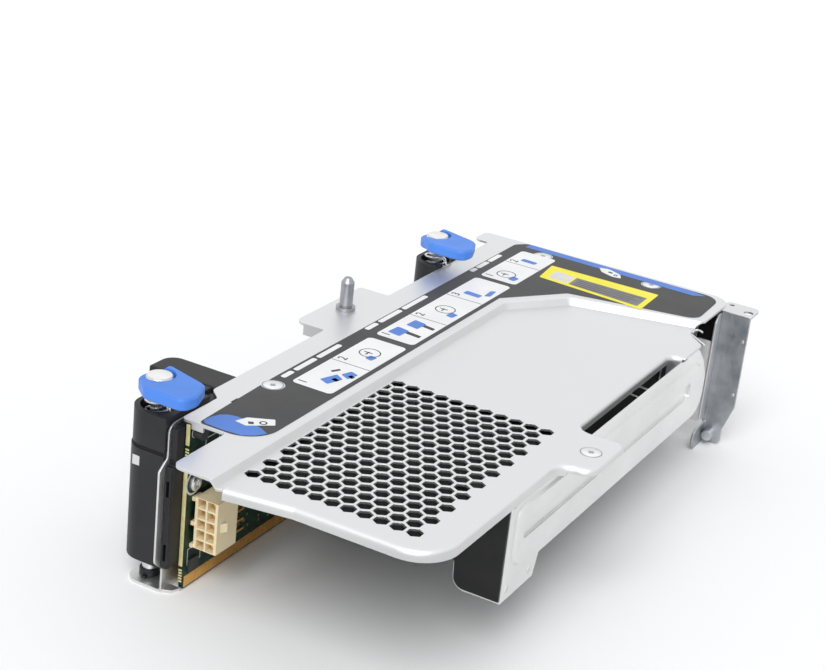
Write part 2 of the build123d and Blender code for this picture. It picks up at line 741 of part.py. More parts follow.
def rear_panel():
    strip_in = side_out - 10
    strip_out = strip_in + strip_width
    rear = panel_y + sheet
    top = flange_z
    face = [
        (wall_x, top, 0),
        (wall_x, 0, 0),
        (wall_in + 10, 0, 1),
        (wall_in + 10, window_bottom, 2),
        (strip_in, window_bottom, 2),
        (strip_in, 10, 0.8),
        (strip_in + 1, 8, 0.8),
        (strip_in + 1, 0, 0.8),
        (strip_in + 10, 0, 3),
        (strip_in + 10, 8, 1.5),
        (strip_out, 20, 3),
        (strip_out, top - 4, 1),
        (strip_in, top - 4, 0.5),
        (strip_in, top, 0),
    ]
    body = cross_plate(face, panel_y, rear)
    # Flange under the deck
    body += block(wall_in + 6, strip_in - 3, panel_y - 18, rear, top - sheet, top)
    bend = [e for e in body.edges().filter_by(Axis.X)
            if abs(e.center().Y - rear) < 0.01 and abs(e.center().Z - top) < 0.01]
    body = fillet(bend, 0.9)
    # Small flange behind the strip, with its two holes
    shelf_z = top - 4
    shelf = [(strip_in - 3, rear, 0), (strip_out, rear, 0),
             (strip_out, rear + rear_flange, 3), (strip_in - 1, rear + rear_flange, 3)]
    body += flat_plate(shelf, shelf_z - sheet, shelf_z)
    for x, y, r in rear_holes():
        body -= upright(x, y, r, shelf_z - 2, shelf_z + 1)
    # Card windows, and the ledge that the cover tabs are screwed to
    ledge_x = cover_right()
    for z in slot_zs[:2]:
        body -= block(board_face + 4, ledge_x - 3, panel_y - 1, rear + 1, z - 6.5, z + 6.5)
        body -= block(ledge_x - 3.2, ledge_x, panel_y - 1, rear + 1, z - 9.4, z + 9.4)
    ledge_top = slot_zs[0] + 8.8
    body += block(ledge_x, ledge_x + sheet, rear, rear + 12, slot_zs[1] - 9.4, ledge_top)
    for z in slot_zs[:2]:
        body -= across(ledge_x - 1, ledge_x + 2, rear + 6, z, 1.6 + screw_play)
    # Foot lug bent inwards below the strip
    lug = [(rear, 0, 0), (panel_y - 15, 0, 4.5), (panel_y - 15, 9.8, 4.5), (rear, 9.8, 0)]
    body += side_plate(lug, strip_in + 1, strip_in + 1 + sheet)
    for x, y in rear_screws:
        body -= upright(x, y, screw_shank + screw_play, top - 2, top + 1)
    return body


def rear_holes():
    strip_in = side_out - 10
    rear = panel_y + sheet
    return [(strip_in + 1.6, rear + 8.6, 1.2), (strip_in + 11, rear + 4.4, 2.2)]


def cover_right():
    return side_out - 11.5


def slot_cover(z):
    """Blank card bracket: the face lies on the panel, the tab is turned outwards."""
    thick = cover_thickness
    half = cover_height / 2
    right = cover_right()
    face = [(board_face + 1.5, z - 7.5, 3), (board_face + 8, z - half, 1), (right, z - half, 0),
            (right, z + half, 0), (board_face + 8, z + half, 1), (board_face + 1.5, z + 7.5, 3)]
    body = cross_plate(face, panel_y - thick, panel_y)
    body += block(right - thick, right, panel_y - thick, panel_y + 12, z - half, z + half)
    bend = [e for e in body.edges().filter_by(Axis.Z)
            if abs(e.center().X - right) < 0.01 and abs(e.center().Y - (panel_y - thick)) < 0.01]
    body = fillet(bend, 0.8)
    return body - across(right - 2, right + 1, panel_y + sheet + 6, z, 1.6 + screw_play)


def cover_screws():
    screws = []
    right = cover_right()
    y = panel_y + sheet + 6
    for z in slot_zs[:2]:
        face = right - cover_thickness
        head = across(face - 2.2, face, y, z, 3.1)
        shank = across(face, right + sheet + 2, y, z, 1.6)
        notch = block(face - 3, face - 1.2, y - 0.4, y + 0.4, z - 2, z + 2)
        screws.append(head + shank - notch)
    return screws


def locating_stud():
    strip_in = side_out - 10
    return along(strip_in + 4.9, 5.0, 2.4, panel_y - 5, panel_y)


# Every node and its solids
nodes = {
    "deck": deck(),
    "deck_screws": deck_screws(),
    "deck_label": deck_label(),
    "guide_pin": guide_pin(),
    "left_wall": left_wall(),
    "side_baffle": side_baffle(),
    "inner_block": inner_block(),
    "riser_board": riser_board(),
    "edge_contacts": edge_contacts(),
    "board_standoffs": board_standoffs(),
    "board_screws": board_screws(),
    "board_components": board_components(),
    "power_header": power_header(),
    "header_pins": header_pins(),
    "side_wall": side_wall(),
    "insulator_sheet": insulator_sheet(),
    "rear_panel": rear_panel(),
    "locating_stud": locating_stud(),
    "cover_screws": cover_screws(),
}
for index, slot_z in enumerate(slot_zs, start=1):
    nodes[f"slot_connector_{index}"] = slot_connector(slot_z)
for index, slot_z in enumerate(slot_zs[:2], start=1):
    nodes[f"slot_cover_{index}"] = slot_cover(slot_z)
for side, latch_y in (("front", front_latch_y), ("rear", rear_latch_y)):
    nodes[f"{side}_latch_housing"] = latch_housing(latch_y)
    nodes[f"{side}_housing_clip"] = housing_clip(latch_y)
    nodes[f"{side}_latch_shaft"] = latch_shaft(latch_y)
    nodes[f"{side}_retaining_ring"] = retaining_ring(latch_y)
    nodes[f"{side}_latch_spring"] = latch_spring(latch_y)
    nodes[f"{side}_thrust_washer"] = thrust_washer(latch_y)
    nodes[f"{side}_latch_handle"] = latch_handle(latch_y)


def solids_of(shape):
    if isinstance(shape, list):
        return [solid for item in shape for solid in item.solids()]
    return list(shape.solids())


# Origin at the bottom centre of the box around the whole part
everything = Compound(children=[s for shape in nodes.values() for s in solids_of(shape)])
box = everything.bounding_box()
home = Pos(-box.center().X, -box.center().Y, -box.min.Z)

os.makedirs("parts", exist_ok=True)
for name, shape in nodes.items():
    moved = [home * solid for solid in solids_of(shape)]
    export_step(moved[0] if len(moved) == 1 else Compound(children=moved), f"parts/{name}.step")

print("home", home.position)
print("box", box.size)
for side, latch_y in (("front", front_latch_y), ("rear", rear_latch_y)):
    print(side, "latch axis", home.position + Vector(latch_x, latch_y, seat_z))
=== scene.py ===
import math
import random

import bmesh
import bpy
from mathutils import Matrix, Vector


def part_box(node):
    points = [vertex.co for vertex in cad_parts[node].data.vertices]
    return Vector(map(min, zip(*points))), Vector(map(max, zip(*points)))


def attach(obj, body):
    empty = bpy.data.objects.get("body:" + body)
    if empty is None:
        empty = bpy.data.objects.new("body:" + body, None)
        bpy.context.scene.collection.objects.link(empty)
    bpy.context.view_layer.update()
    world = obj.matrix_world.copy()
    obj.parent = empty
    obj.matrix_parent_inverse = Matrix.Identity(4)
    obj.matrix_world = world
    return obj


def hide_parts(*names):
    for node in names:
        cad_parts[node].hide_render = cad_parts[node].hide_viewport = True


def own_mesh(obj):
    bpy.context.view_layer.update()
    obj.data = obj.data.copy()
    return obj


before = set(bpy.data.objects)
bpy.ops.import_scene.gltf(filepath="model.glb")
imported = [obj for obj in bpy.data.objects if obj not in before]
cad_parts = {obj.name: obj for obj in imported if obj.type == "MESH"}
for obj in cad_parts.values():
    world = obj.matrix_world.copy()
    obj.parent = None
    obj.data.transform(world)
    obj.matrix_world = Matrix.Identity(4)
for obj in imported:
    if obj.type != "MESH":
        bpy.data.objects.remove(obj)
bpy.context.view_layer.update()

# Riser cage of a rack server. Pieces are placed in millimetres about the middle of the
# cage: x across, y from the deck's front edge to the rear panel, z up from the feet.

random.seed(11)
millimetre = 0.001
shaftLow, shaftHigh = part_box("front_latch_shaft")
latchX = -68.0
latchY = {"front": 28.0, "rear": 233.0}
home = Vector((
    (shaftLow.x + shaftHigh.x) / 2 - latchX * millimetre,
    (shaftLow.y + shaftHigh.y) / 2 - latchY["front"] * millimetre,
    0,
))
boardFace = -52.5
inkFace = boardFace - 0.01   # copper, ink and vias start just inside the board
labelTop = 69.12
upperLevel = 69.0
edgeAngle = 40
smoothAngle = 32


def spot(x, y, z):
    return home + Vector((x, y, z)) * millimetre


def clearSelection():
    if bpy.context.object and bpy.context.object.mode == "EDIT":
        bpy.ops.object.mode_set(mode="OBJECT")
    bpy.ops.object.select_all(action="DESELECT")


def pick(piece):
    clearSelection()
    piece.select_set(True)
    bpy.context.view_layer.objects.active = piece


def applyPlace(piece):
    pick(piece)
    bpy.ops.object.transform_apply(location=True, rotation=True, scale=True)


def applyModifier(piece, kind, **settings):
    pick(piece)
    bpy.ops.object.modifier_add(type=kind)
    modifier = piece.modifiers[-1]
    for key, value in settings.items():
        setattr(modifier, key, value)
    bpy.ops.object.modifier_apply(modifier=modifier.name)


def softenEdges(piece, width, segments=2):
    applyModifier(piece, "BEVEL", width=width * millimetre, segments=segments,
                  limit_method="ANGLE", angle_limit=math.radians(edgeAngle))


def addBlock(low, high, bevel=0.2, segments=2):
    clearSelection()
    middle = [(a + b) / 2 for a, b in zip(low, high)]
    bpy.ops.mesh.primitive_cube_add(size=1, location=spot(*middle))
    piece = bpy.context.object
    piece.scale = [(b - a) * millimetre for a, b in zip(low, high)]
    applyPlace(piece)
    if bevel:
        softenEdges(piece, bevel, segments)
    return piece


def onFace(facing, base, a, b):
    # top faces up, side faces +x, front faces -y, outside faces -x
    return {
        "top": (a, b, base),
        "side": (base, a, b),
        "front": (a, base, b),
        "outside": (base, -a, b),
    }[facing]


faceTurns = {
    "top": (0, 0, 0),
    "side": (0, math.pi / 2, 0),
    "front": (math.pi / 2, 0, 0),
    "outside": (0, -math.pi / 2, 0),
}
faceNormals = {"top": (0, 0, 1), "side": (1, 0, 0), "front": (0, -1, 0), "outside": (-1, 0, 0)}


def faceOutwards(piece, facing):
    # turns the flat outline in edit mode to face the given way
    shape = bmesh.from_edit_mesh(piece.data)
    shape.normal_update()
    if shape.faces[:][0].normal.dot(Vector(faceNormals[facing])) < 0:
        bpy.ops.mesh.flip_normals()


def addPlate(points, base, thickness, facing="top", rounding=0.0, bevel=0.0):
    # points run along the outline, corners are rounded before it gets its thickness
    area = sum(p[0] * q[1] - q[0] * p[1] for p, q in zip(points, points[1:] + points[:1]))
    if area < 0:
        points = points[::-1]
    clearSelection()
    bpy.ops.mesh.primitive_circle_add(vertices=len(points), radius=10 * millimetre, fill_type="NGON")
    piece = bpy.context.object
    bpy.ops.object.mode_set(mode="EDIT")
    for index, (a, b) in enumerate(points):
        bpy.ops.mesh.select_all(action="DESELECT")
        shape = bmesh.from_edit_mesh(piece.data)
        shape.verts.ensure_lookup_table()
        shape.verts[index].select = True
        start = shape.verts[index].co.copy()
        bmesh.update_edit_mesh(piece.data)
        bpy.ops.transform.translate(value=spot(*onFace(facing, base, a, b)) - start)
    bpy.ops.mesh.select_all(action="SELECT")
    if rounding:
        bpy.ops.mesh.bevel(offset=rounding * millimetre, segments=5, affect="VERTICES")
        bpy.ops.mesh.select_all(action="SELECT")
    faceOutwards(piece, facing)
    bpy.ops.object.mode_set(mode="OBJECT")
    applyModifier(piece, "SOLIDIFY", thickness=thickness * millimetre, offset=1.0)
    if bevel:
        softenEdges(piece, bevel)
    return piece


def addPanel(left, right, front, rear, base, thickness, facing="top", rounding=1.0, bevel=0.0):
    corners = [(left, front), (right, front), (right, rear), (left, rear)]
    return addPlate(corners, base, thickness, facing, rounding, bevel)


def addDisc(centre, radius, thickness, facing="top", bevel=0.15, vertices=40):
    clearSelection()
    lift = Vector(faceNormals[facing]) * thickness / 2
    middle = Vector(centre) + lift
    bpy.ops.mesh.primitive_cylinder_add(
        vertices=vertices, radius=radius * millimetre, depth=thickness * millimetre,
        location=spot(*middle), rotation=faceTurns[facing])
    piece = bpy.context.object
    applyPlace(piece)
    if bevel:
        softenEdges(piece, bevel)
    return piece


def addRing(centre, inner, outer, thickness, facing="top", vertices=48, bevel=0.0):
    clearSelection()
    bpy.ops.mesh.primitive_circle_add(
        vertices=vertices, radius=outer * millimetre, fill_type="NGON",
        location=spot(*centre), rotation=faceTurns[facing])
    piece = bpy.context.object
    applyPlace(piece)
    bpy.ops.object.mode_set(mode="EDIT")
    bpy.ops.mesh.select_all(action="SELECT")
    bpy.ops.mesh.inset(thickness=(outer - inner) * millimetre)
    bpy.ops.mesh.delete(type="FACE")
    bpy.ops.mesh.select_all(action="SELECT")
    faceOutwards(piece, facing)
    bpy.ops.object.mode_set(mode="OBJECT")
    applyModifier(piece, "SOLIDIFY", thickness=thickness * millimetre, offset=1.0)
    if bevel:
        softenEdges(piece, bevel)
    return piece


def addBar(start, end, radius, vertices=16, bevel=0.1):
    clearSelection()
    low, high = spot(*start), spot(*end)
    run = high - low
    bpy.ops.mesh.primitive_cylinder_add(
        vertices=vertices, radius=radius * millimetre, depth=run.length,
        location=(low + high) / 2, rotation=run.to_track_quat("Z", "Y").to_euler())
    piece = bpy.context.object
    applyPlace(piece)
    if bevel:
        softenEdges(piece, bevel)
    return piece


wireMesh = {"order": 3, "roundness": 3, "steps": 6}


def addWire(points, radius):
    clearSelection()
    bpy.ops.curve.primitive_nurbs_path_add()
    path = bpy.context.object
    line = path.data.splines[0]
    line.points.add(max(0, len(points) - len(line.points)))
    for knot, place in zip(line.points, points):
        knot.co = (*spot(*place), 1)
    line.use_endpoint_u = True
    line.order_u = wireMesh["order"]
    path.data.bevel_depth = radius * millimetre
    path.data.bevel_resolution = wireMesh["roundness"]
    path.data.resolution_u = wireMesh["steps"]
    path.data.use_fill_caps = True
    pick(path)
    bpy.ops.object.convert(target="MESH")
    return bpy.context.object


def copyPiece(piece, move):
    pick(piece)
    bpy.ops.object.duplicate()
    twin = bpy.context.object
    twin.location = Vector(move) * millimetre
    applyPlace(twin)
    return twin


def repeatPiece(piece, moves):
    made = [copyPiece(piece, move) for move in moves]
    bpy.data.objects.remove(piece)
    return made


def joinPieces(pieces):
    pick(pieces[0])
    for piece in pieces[1:]:
        piece.select_set(True)
    if len(pieces) > 1:
        bpy.ops.object.join()
    return bpy.context.object


def finishPiece(piece, name, finish, body="cage"):
    applyPlace(piece)
    piece.name = name
    piece.data.name = name
    piece.data.materials.clear()
    piece.data.materials.append(finish)
    pick(piece)
    bpy.ops.object.shade_smooth_by_angle(angle=math.radians(smoothAngle))
    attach(piece, body)
    return piece


# grain holds what all finishes share, looks what each of them sets
grain = {
    "broadDetail": (3, 0.55), "fineDetail": (4, 0.6), "fleckDetail": (2, 0.5),
    "fineSpan": (0.3, 0.7), "fleckSpan": (0.58, 0.7), "paintedTopLightSpan": (0.5, 0.8), "rimSpan": (0.985, 0.86),
    "edgeSamples": 4, "bumpDepth": 0.05,
}


def makeFinish(name, look):
    finish = bpy.data.materials.new(name)
    finish.use_nodes = True
    nodes, links = finish.node_tree.nodes, finish.node_tree.links
    shader = nodes["Principled BSDF"]
    shader.inputs["Metallic"].default_value = look.get("metal", 0.0)
    shader.inputs["Specular IOR Level"].default_value = look.get("specular", 0.5)
    shader.inputs["Subsurface Weight"].default_value = look.get("depth", 0.0)
    shader.inputs["Subsurface Scale"].default_value = look.get("depthScale", millimetre)

    source = nodes.new("ShaderNodeTexCoord")
    stretch = nodes.new("ShaderNodeMapping")
    stretch.inputs["Scale"].default_value = look.get("stretch", (1, 1, 1))
    links.new(source.outputs["Object"], stretch.inputs["Vector"])

    def addNoise(scale, detail, roughness, vector):
        noise = nodes.new("ShaderNodeTexNoise")
        noise.inputs["Scale"].default_value = scale
        noise.inputs["Detail"].default_value = detail
        noise.inputs["Roughness"].default_value = roughness
        links.new(vector, noise.inputs["Vector"])
        return noise.outputs["Fac"]

    def addRange(value, limits, newLow, newHigh):
        span = nodes.new("ShaderNodeMapRange")
        span.inputs["From Min"].default_value = limits[0]
        span.inputs["From Max"].default_value = limits[1]
        span.inputs["To Min"].default_value = newLow
        span.inputs["To Max"].default_value = newHigh
        links.new(value, span.inputs["Value"])
        return span.outputs["Result"]

    def mixColours(factor, first, second):
        mix = nodes.new("ShaderNodeMix")
        mix.data_type = "RGBA"   # its colour sockets are 6 and 7, and output 2
        links.new(factor, mix.inputs["Factor"])
        for socket, colour in ((mix.inputs[6], first), (mix.inputs[7], second)):
            if isinstance(colour, tuple):
                socket.default_value = (*colour, 1)
            else:
                links.new(colour, socket)
        return mix.outputs[2]

    broad = addNoise(look["broad"], *grain["broadDetail"], source.outputs["Object"])
    fine = addNoise(look["fine"], *grain["fineDetail"], stretch.outputs["Vector"])
    sharp = look.get("sharp", 0.18)
    tone = mixColours(addRange(broad, (0.5 - sharp, 0.5 + sharp), 0, 1), look["base"], look["tint"])
    if "speck" in look:
        flecks = addNoise(look["speckScale"], *grain["fleckDetail"], stretch.outputs["Vector"])
        amount = addRange(flecks, grain["fleckSpan"], 0, look["speckAmount"])
        tone = mixColours(amount, tone, look["speck"])

    if "paintedTopLight" in look:
        # painted light: faces that lie flat are mixed towards a lighter colour and the upright faces stay
        # darker, standing in for how the light falls on them
        facing = nodes.new("ShaderNodeNewGeometry")
        parts = nodes.new("ShaderNodeSeparateXYZ")
        links.new(facing.outputs["True Normal"], parts.inputs[0])
        tone = mixColours(addRange(parts.outputs["Z"], grain["paintedTopLightSpan"], 0, 1), tone, look["paintedTopLight"])

    normal = None
    if look.get("edge"):
        bevel = nodes.new("ShaderNodeBevel")
        bevel.samples = grain["edgeSamples"]
        bevel.inputs["Radius"].default_value = look["edge"] * millimetre
        normal = bevel.outputs["Normal"]
        # painted highlight: along the edges, where the bevel normal turns away from the face, the colour is
        # mixed towards the lighter rim colour
        if "rim" in look:
            surface = nodes.new("ShaderNodeNewGeometry")
            match = nodes.new("ShaderNodeVectorMath")
            match.operation = "DOT_PRODUCT"
            links.new(normal, match.inputs[0])
            links.new(surface.outputs["Normal"], match.inputs[1])
            paintedRimLight = addRange(match.outputs["Value"], grain["rimSpan"], 0, look.get("rimAmount", 0.8))
            tone = mixColours(paintedRimLight, tone, look["rim"])
    links.new(tone, shader.inputs["Base Color"])

    links.new(addRange(fine, grain["fineSpan"], *look["rough"]), shader.inputs["Roughness"])
    bump = nodes.new("ShaderNodeBump")
    bump.inputs["Strength"].default_value = look["bump"]
    bump.inputs["Distance"].default_value = grain["bumpDepth"] * millimetre
    links.new(fine, bump.inputs["Height"])
    if normal:
        links.new(normal, bump.inputs["Normal"])
    links.new(bump.outputs["Normal"], shader.inputs["Normal"])
    return finish


looks = {
    "deckSteel": {"base": (0.58, 0.59, 0.59), "tint": (0.66, 0.665, 0.66), "metal": 0.92,
                  "rough": (0.36, 0.46), "broad": 22, "fine": 1500, "stretch": (1, 0.35, 1),
                  "bump": 0.12, "edge": 0.35, "rim": (0.86, 0.86, 0.86), "rimAmount": 0.7,
                  "paintedTopLight": (0.765, 0.77, 0.785)},
    "wallSteel": {"base": (0.70, 0.702, 0.70), "tint": (0.78, 0.78, 0.775), "metal": 0.92,
                  "rough": (0.3, 0.42), "broad": 30, "fine": 1400, "stretch": (1, 0.12, 1),
                  "bump": 0.16, "edge": 0.4, "rim": (0.86, 0.86, 0.86), "rimAmount": 0.7},
    "rearSteel": {"base": (0.30, 0.33, 0.36), "tint": (0.50, 0.52, 0.545), "metal": 0.9,
                  "rough": (0.34, 0.5), "broad": 95, "fine": 900, "stretch": (1, 1, 0.4), "bump": 0.2,
                  "edge": 0.45, "sharp": 0.14, "rim": (0.82, 0.82, 0.82), "rimAmount": 0.9,
                  "paintedTopLight": (0.74, 0.745, 0.75)},
    # paleZinc: lighter, less metallic steel for the screw faces and the strip doubler; on the doubler this
    # lightness is painted light against the shade under the deck
    "paleZinc": {"base": (0.84, 0.84, 0.84), "tint": (0.90, 0.90, 0.895), "metal": 0.5,
                 "rough": (0.4, 0.52), "broad": 30, "fine": 1400, "stretch": (1, 1, 0.2), "bump": 0.12,
                 "edge": 0.3},
    "zincSteel": {"base": (0.66, 0.68, 0.72), "tint": (0.74, 0.74, 0.73), "metal": 1.0,
                  "rough": (0.24, 0.36), "broad": 120, "fine": 2500, "bump": 0.08, "edge": 0.2,
                  "rim": (0.88, 0.88, 0.88)},
    "springSteel": {"base": (0.62, 0.62, 0.62), "tint": (0.78, 0.78, 0.78), "metal": 1.0,
                    "rough": (0.2, 0.32), "broad": 300, "fine": 3000, "bump": 0.06},
    "labelFilm": {"base": (0.056, 0.056, 0.058), "tint": (0.068, 0.068, 0.069), "rough": (0.42, 0.54),
                  "broad": 60, "fine": 2600, "bump": 0.05, "specular": 0.2},
    "whiteInk": {"base": (0.90, 0.90, 0.905), "tint": (0.84, 0.84, 0.85), "rough": (0.42, 0.55),
                 "broad": 70, "fine": 2600, "bump": 0.04, "specular": 0.35},
    "greyInk": {"base": (0.16, 0.16, 0.17), "tint": (0.2, 0.2, 0.21), "rough": (0.45, 0.55),
                "broad": 70, "fine": 2600, "bump": 0.04},
    "darkInk": {"base": (0.02, 0.02, 0.022), "tint": (0.035, 0.035, 0.037), "rough": (0.45, 0.55),
                "broad": 70, "fine": 2600, "bump": 0.04},
    "blueInk": {"base": (0.075, 0.20, 0.62), "tint": (0.09, 0.235, 0.68), "rough": (0.42, 0.52),
                "broad": 70, "fine": 2600, "bump": 0.04, "specular": 0.4},
    "yellowInk": {"base": (0.90, 0.80, 0.03), "tint": (0.94, 0.86, 0.07), "rough": (0.42, 0.52),
                  "broad": 70, "fine": 2600, "bump": 0.04, "specular": 0.4},
    "dimInk": {"base": (0.10, 0.098, 0.09), "tint": (0.15, 0.145, 0.13), "rough": (0.45, 0.55),
               "broad": 300, "fine": 2600, "bump": 0.04, "specular": 0.2},
    "shadeFilm": {"base": (0.006, 0.006, 0.006), "tint": (0.011, 0.011, 0.011), "rough": (0.5, 0.62),
                  "broad": 40, "fine": 1800, "bump": 0.1, "specular": 0.08},
    "paleInk": {"base": (0.78, 0.74, 0.68), "tint": (0.66, 0.66, 0.68), "rough": (0.45, 0.55),
                "broad": 300, "fine": 2600, "bump": 0.04},
    "bluePlastic": {"base": (0.055, 0.215, 0.74), "tint": (0.07, 0.25, 0.80), "rough": (0.36, 0.46),
                    "broad": 60, "fine": 3600, "bump": 0.22, "edge": 0.7, "specular": 0.5,
                    "rim": (0.12, 0.32, 0.85), "rimAmount": 0.35},
    "blackPlastic": {"base": (0.014, 0.014, 0.015), "tint": (0.022, 0.022, 0.024), "rough": (0.38, 0.5),
                     "broad": 45, "fine": 3200, "bump": 0.25, "edge": 0.6, "specular": 0.28,
                     "rim": (0.06, 0.06, 0.065), "rimAmount": 0.5},
    "slotPlastic": {"base": (0.008, 0.008, 0.009), "tint": (0.013, 0.013, 0.014), "rough": (0.34, 0.46),
                    "broad": 80, "fine": 3000, "bump": 0.12, "edge": 0.2, "specular": 0.25},
    "blackSheet": {"base": (0.012, 0.012, 0.013), "tint": (0.02, 0.02, 0.021), "rough": (0.28, 0.4),
                   "broad": 50, "fine": 2000, "bump": 0.1, "specular": 0.2},
    "creamNylon": {"base": (0.96, 0.79, 0.48), "tint": (0.97, 0.83, 0.56), "rough": (0.36, 0.5),
                   "broad": 150, "fine": 3000, "bump": 0.12, "edge": 0.25, "depth": 0.15,
                   "depthScale": 0.001, "rim": (0.96, 0.86, 0.68), "rimAmount": 0.5},
    "solderMask": {"base": (0.003, 0.012, 0.008), "tint": (0.006, 0.034, 0.017), "rough": (0.26, 0.4),
                   "broad": 260, "fine": 2200, "bump": 0.12, "sharp": 0.03, "specular": 0.22,
                   "speck": (0.008, 0.045, 0.025), "speckScale": 700, "speckAmount": 0.5},
    "copperTrace": {"base": (0.009, 0.05, 0.026), "tint": (0.012, 0.06, 0.03), "rough": (0.26, 0.38),
                    "broad": 300, "fine": 2200, "bump": 0.05, "specular": 0.25},
    "pinSteel": {"base": (0.30, 0.31, 0.33), "tint": (0.42, 0.43, 0.45), "metal": 1.0,
                 "rough": (0.3, 0.44), "broad": 150, "fine": 2500, "bump": 0.12, "edge": 0.2,
                 "rim": (0.7, 0.7, 0.7), "rimAmount": 0.5},
    "boardLaminate": {"base": (0.62, 0.56, 0.24), "tint": (0.72, 0.68, 0.36), "rough": (0.5, 0.65),
                      "broad": 500, "fine": 2500, "stretch": (3, 1, 0.3), "bump": 0.2},
    "goldPad": {"base": (0.72, 0.42, 0.12), "tint": (0.82, 0.5, 0.16), "metal": 1.0,
                "rough": (0.22, 0.34), "broad": 300, "fine": 2500, "bump": 0.06},
    "tinLead": {"base": (0.6, 0.6, 0.6), "tint": (0.72, 0.72, 0.71), "metal": 1.0, "rough": (0.25, 0.4),
                "broad": 400, "fine": 2500, "bump": 0.1},
    "chipBody": {"base": (0.02, 0.02, 0.021), "tint": (0.032, 0.032, 0.034), "rough": (0.4, 0.55),
                 "broad": 200, "fine": 3200, "bump": 0.2, "edge": 0.15},
    "headPlastic": {"base": (0.80, 0.80, 0.78), "tint": (0.86, 0.86, 0.84), "rough": (0.3, 0.42),
                    "broad": 200, "fine": 3000, "bump": 0.08, "edge": 0.3},
    "silkInk": {"base": (0.62, 0.63, 0.62), "tint": (0.74, 0.75, 0.74), "rough": (0.5, 0.6),
                "broad": 300, "fine": 2600, "bump": 0.1},
    "capacitorCan": {"base": (0.66, 0.66, 0.67), "tint": (0.74, 0.74, 0.75), "metal": 1.0,
                     "rough": (0.22, 0.34), "broad": 300, "fine": 2600, "bump": 0.05, "edge": 0.3},
}
finishes = {name: makeFinish(name, look) for name, look in looks.items()}
print("finishes:", len(finishes))

nodeFinishes = {
    "deck": "deckSteel", "left_wall": "wallSteel", "side_wall": "wallSteel", "rear_panel": "rearSteel",
    "deck_screws": "zincSteel", "board_screws": "zincSteel", "cover_screws": "zincSteel",
    "board_standoffs": "zincSteel", "locating_stud": "zincSteel", "guide_pin": "pinSteel",
    "deck_label": "labelFilm", "side_baffle": "blackPlastic", "inner_block": "blackPlastic",
    "riser_board": "solderMask", "edge_contacts": "goldPad", "board_components": "chipBody",
    "power_header": "creamNylon", "header_pins": "goldPad", "insulator_sheet": "blackSheet",
    "slot_connector_1": "slotPlastic", "slot_connector_2": "slotPlastic", "slot_connector_3": "slotPlastic",
    "slot_cover_1": "rearSteel", "slot_cover_2": "rearSteel",
}
latchFinishes = {
    "latch_housing": "blackPlastic", "housing_clip": "zincSteel", "latch_shaft": "zincSteel",
    "retaining_ring": "springSteel", "latch_spring": "springSteel", "thrust_washer": "headPlastic",
    "latch_handle": "bluePlastic",
}
for side in latchY:
    for part, finish in latchFinishes.items():
        nodeFinishes[side + "_" + part] = finish
for node, finish in nodeFinishes.items():
    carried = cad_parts[node]
    carried.data.materials.clear()
    carried.data.materials.append(finishes[finish])
print("frame nodes finished:", len(nodeFinishes))


labelPrint = {
    "thickness": 0.08, "sink": 0.02, "left": -44.5, "right": -27.0, "corner": 2.0,
    "groups": [(78.5, 136.0, [107.0]), (140.5, 228.0, [168.8, 200.3]), (231.8, 274.5, [256.5])],
    "dividerWidth": 0.45, "dividerMargin": 0.2,
    "inkThickness": 0.05, "tagThickness": 0.06, "markThickness": 0.04, "overlap": 0.01,
}
printBase = labelTop - labelPrint["sink"]
inkLayer = printBase + labelPrint["thickness"] - labelPrint["overlap"]
tagLayer = inkLayer + labelPrint["inkThickness"]


def finishPrint(pieces, name, ink):
    finishPiece(joinPieces(pieces), name, finishes[ink])


def printShapes(outlines, base, thickness, rounding):
    return [addPlate(points, base, thickness, rounding=rounding) for points in outlines]


def addLabelPanels():
    look = labelPrint
    half, margin = look["dividerWidth"] / 2, look["dividerMargin"]
    for number, (front, rear, dividers) in enumerate(look["groups"], start=1):
        panel = addPanel(look["left"], look["right"], front, rear, printBase, look["thickness"],
                         rounding=look["corner"])
        finishPrint([panel], "labelPanel%d" % number, "whiteInk")
        lines = [addPanel(look["left"] + margin, look["right"] - margin, y - half, y + half, inkLayer,
                          look["inkThickness"], rounding=0) for y in dividers]
        finishPrint(lines, "panelDivider%d" % number, "greyInk")


headingBars = {
    "lines": [(-49.0, 79.5, 121.0), (-49.6, 142.0, 192.0), (-49.6, 233.0, 262.0)],
    "words": [(0.0, 0.17), (0.21, 0.56), (0.60, 1.0)], "width": 2.3, "rounding": 0.9,
}


def addHeadings():
    # plain bars along the white panels
    look = headingBars
    half = look["width"] / 2
    for number, (x, front, rear) in enumerate(look["lines"], start=1):
        bars = []
        for start, end in look["words"]:
            y0, y1 = front + (rear - front) * start, front + (rear - front) * end
            bars.append(addPanel(x - half, x + half, y0, y1, printBase, labelPrint["thickness"],
                                 rounding=look["rounding"]))
        finishPrint(bars, "headingBars%d" % number, "whiteInk")


stepNumbers = {
    "places": [(1, 80.2), (2, 109.0), (1, 142.2), (2, 170.6), (3, 202.0), (1, 233.6), (2, 258.2)],
    "x": -39.6, "size": 5.4, "weight": 0.06, "halfThickness": 0.03, "curveSteps": 4,
}


def addStepNumbers():
    look = stepNumbers
    for index, (value, y) in enumerate(look["places"], start=1):
        clearSelection()
        bpy.ops.object.text_add(location=spot(look["x"], y, inkLayer), rotation=(0, 0, math.pi / 2))
        figure = bpy.context.object
        figure.data.body = str(value)
        figure.data.size = look["size"] * millimetre
        figure.data.offset = look["weight"] * millimetre
        figure.data.extrude = look["halfThickness"] * millimetre
        figure.data.resolution_u = look["curveSteps"]
        pick(figure)
        bpy.ops.object.convert(target="MESH")
        finishPrint([bpy.context.object], "stepNumber%d" % index, "darkInk")


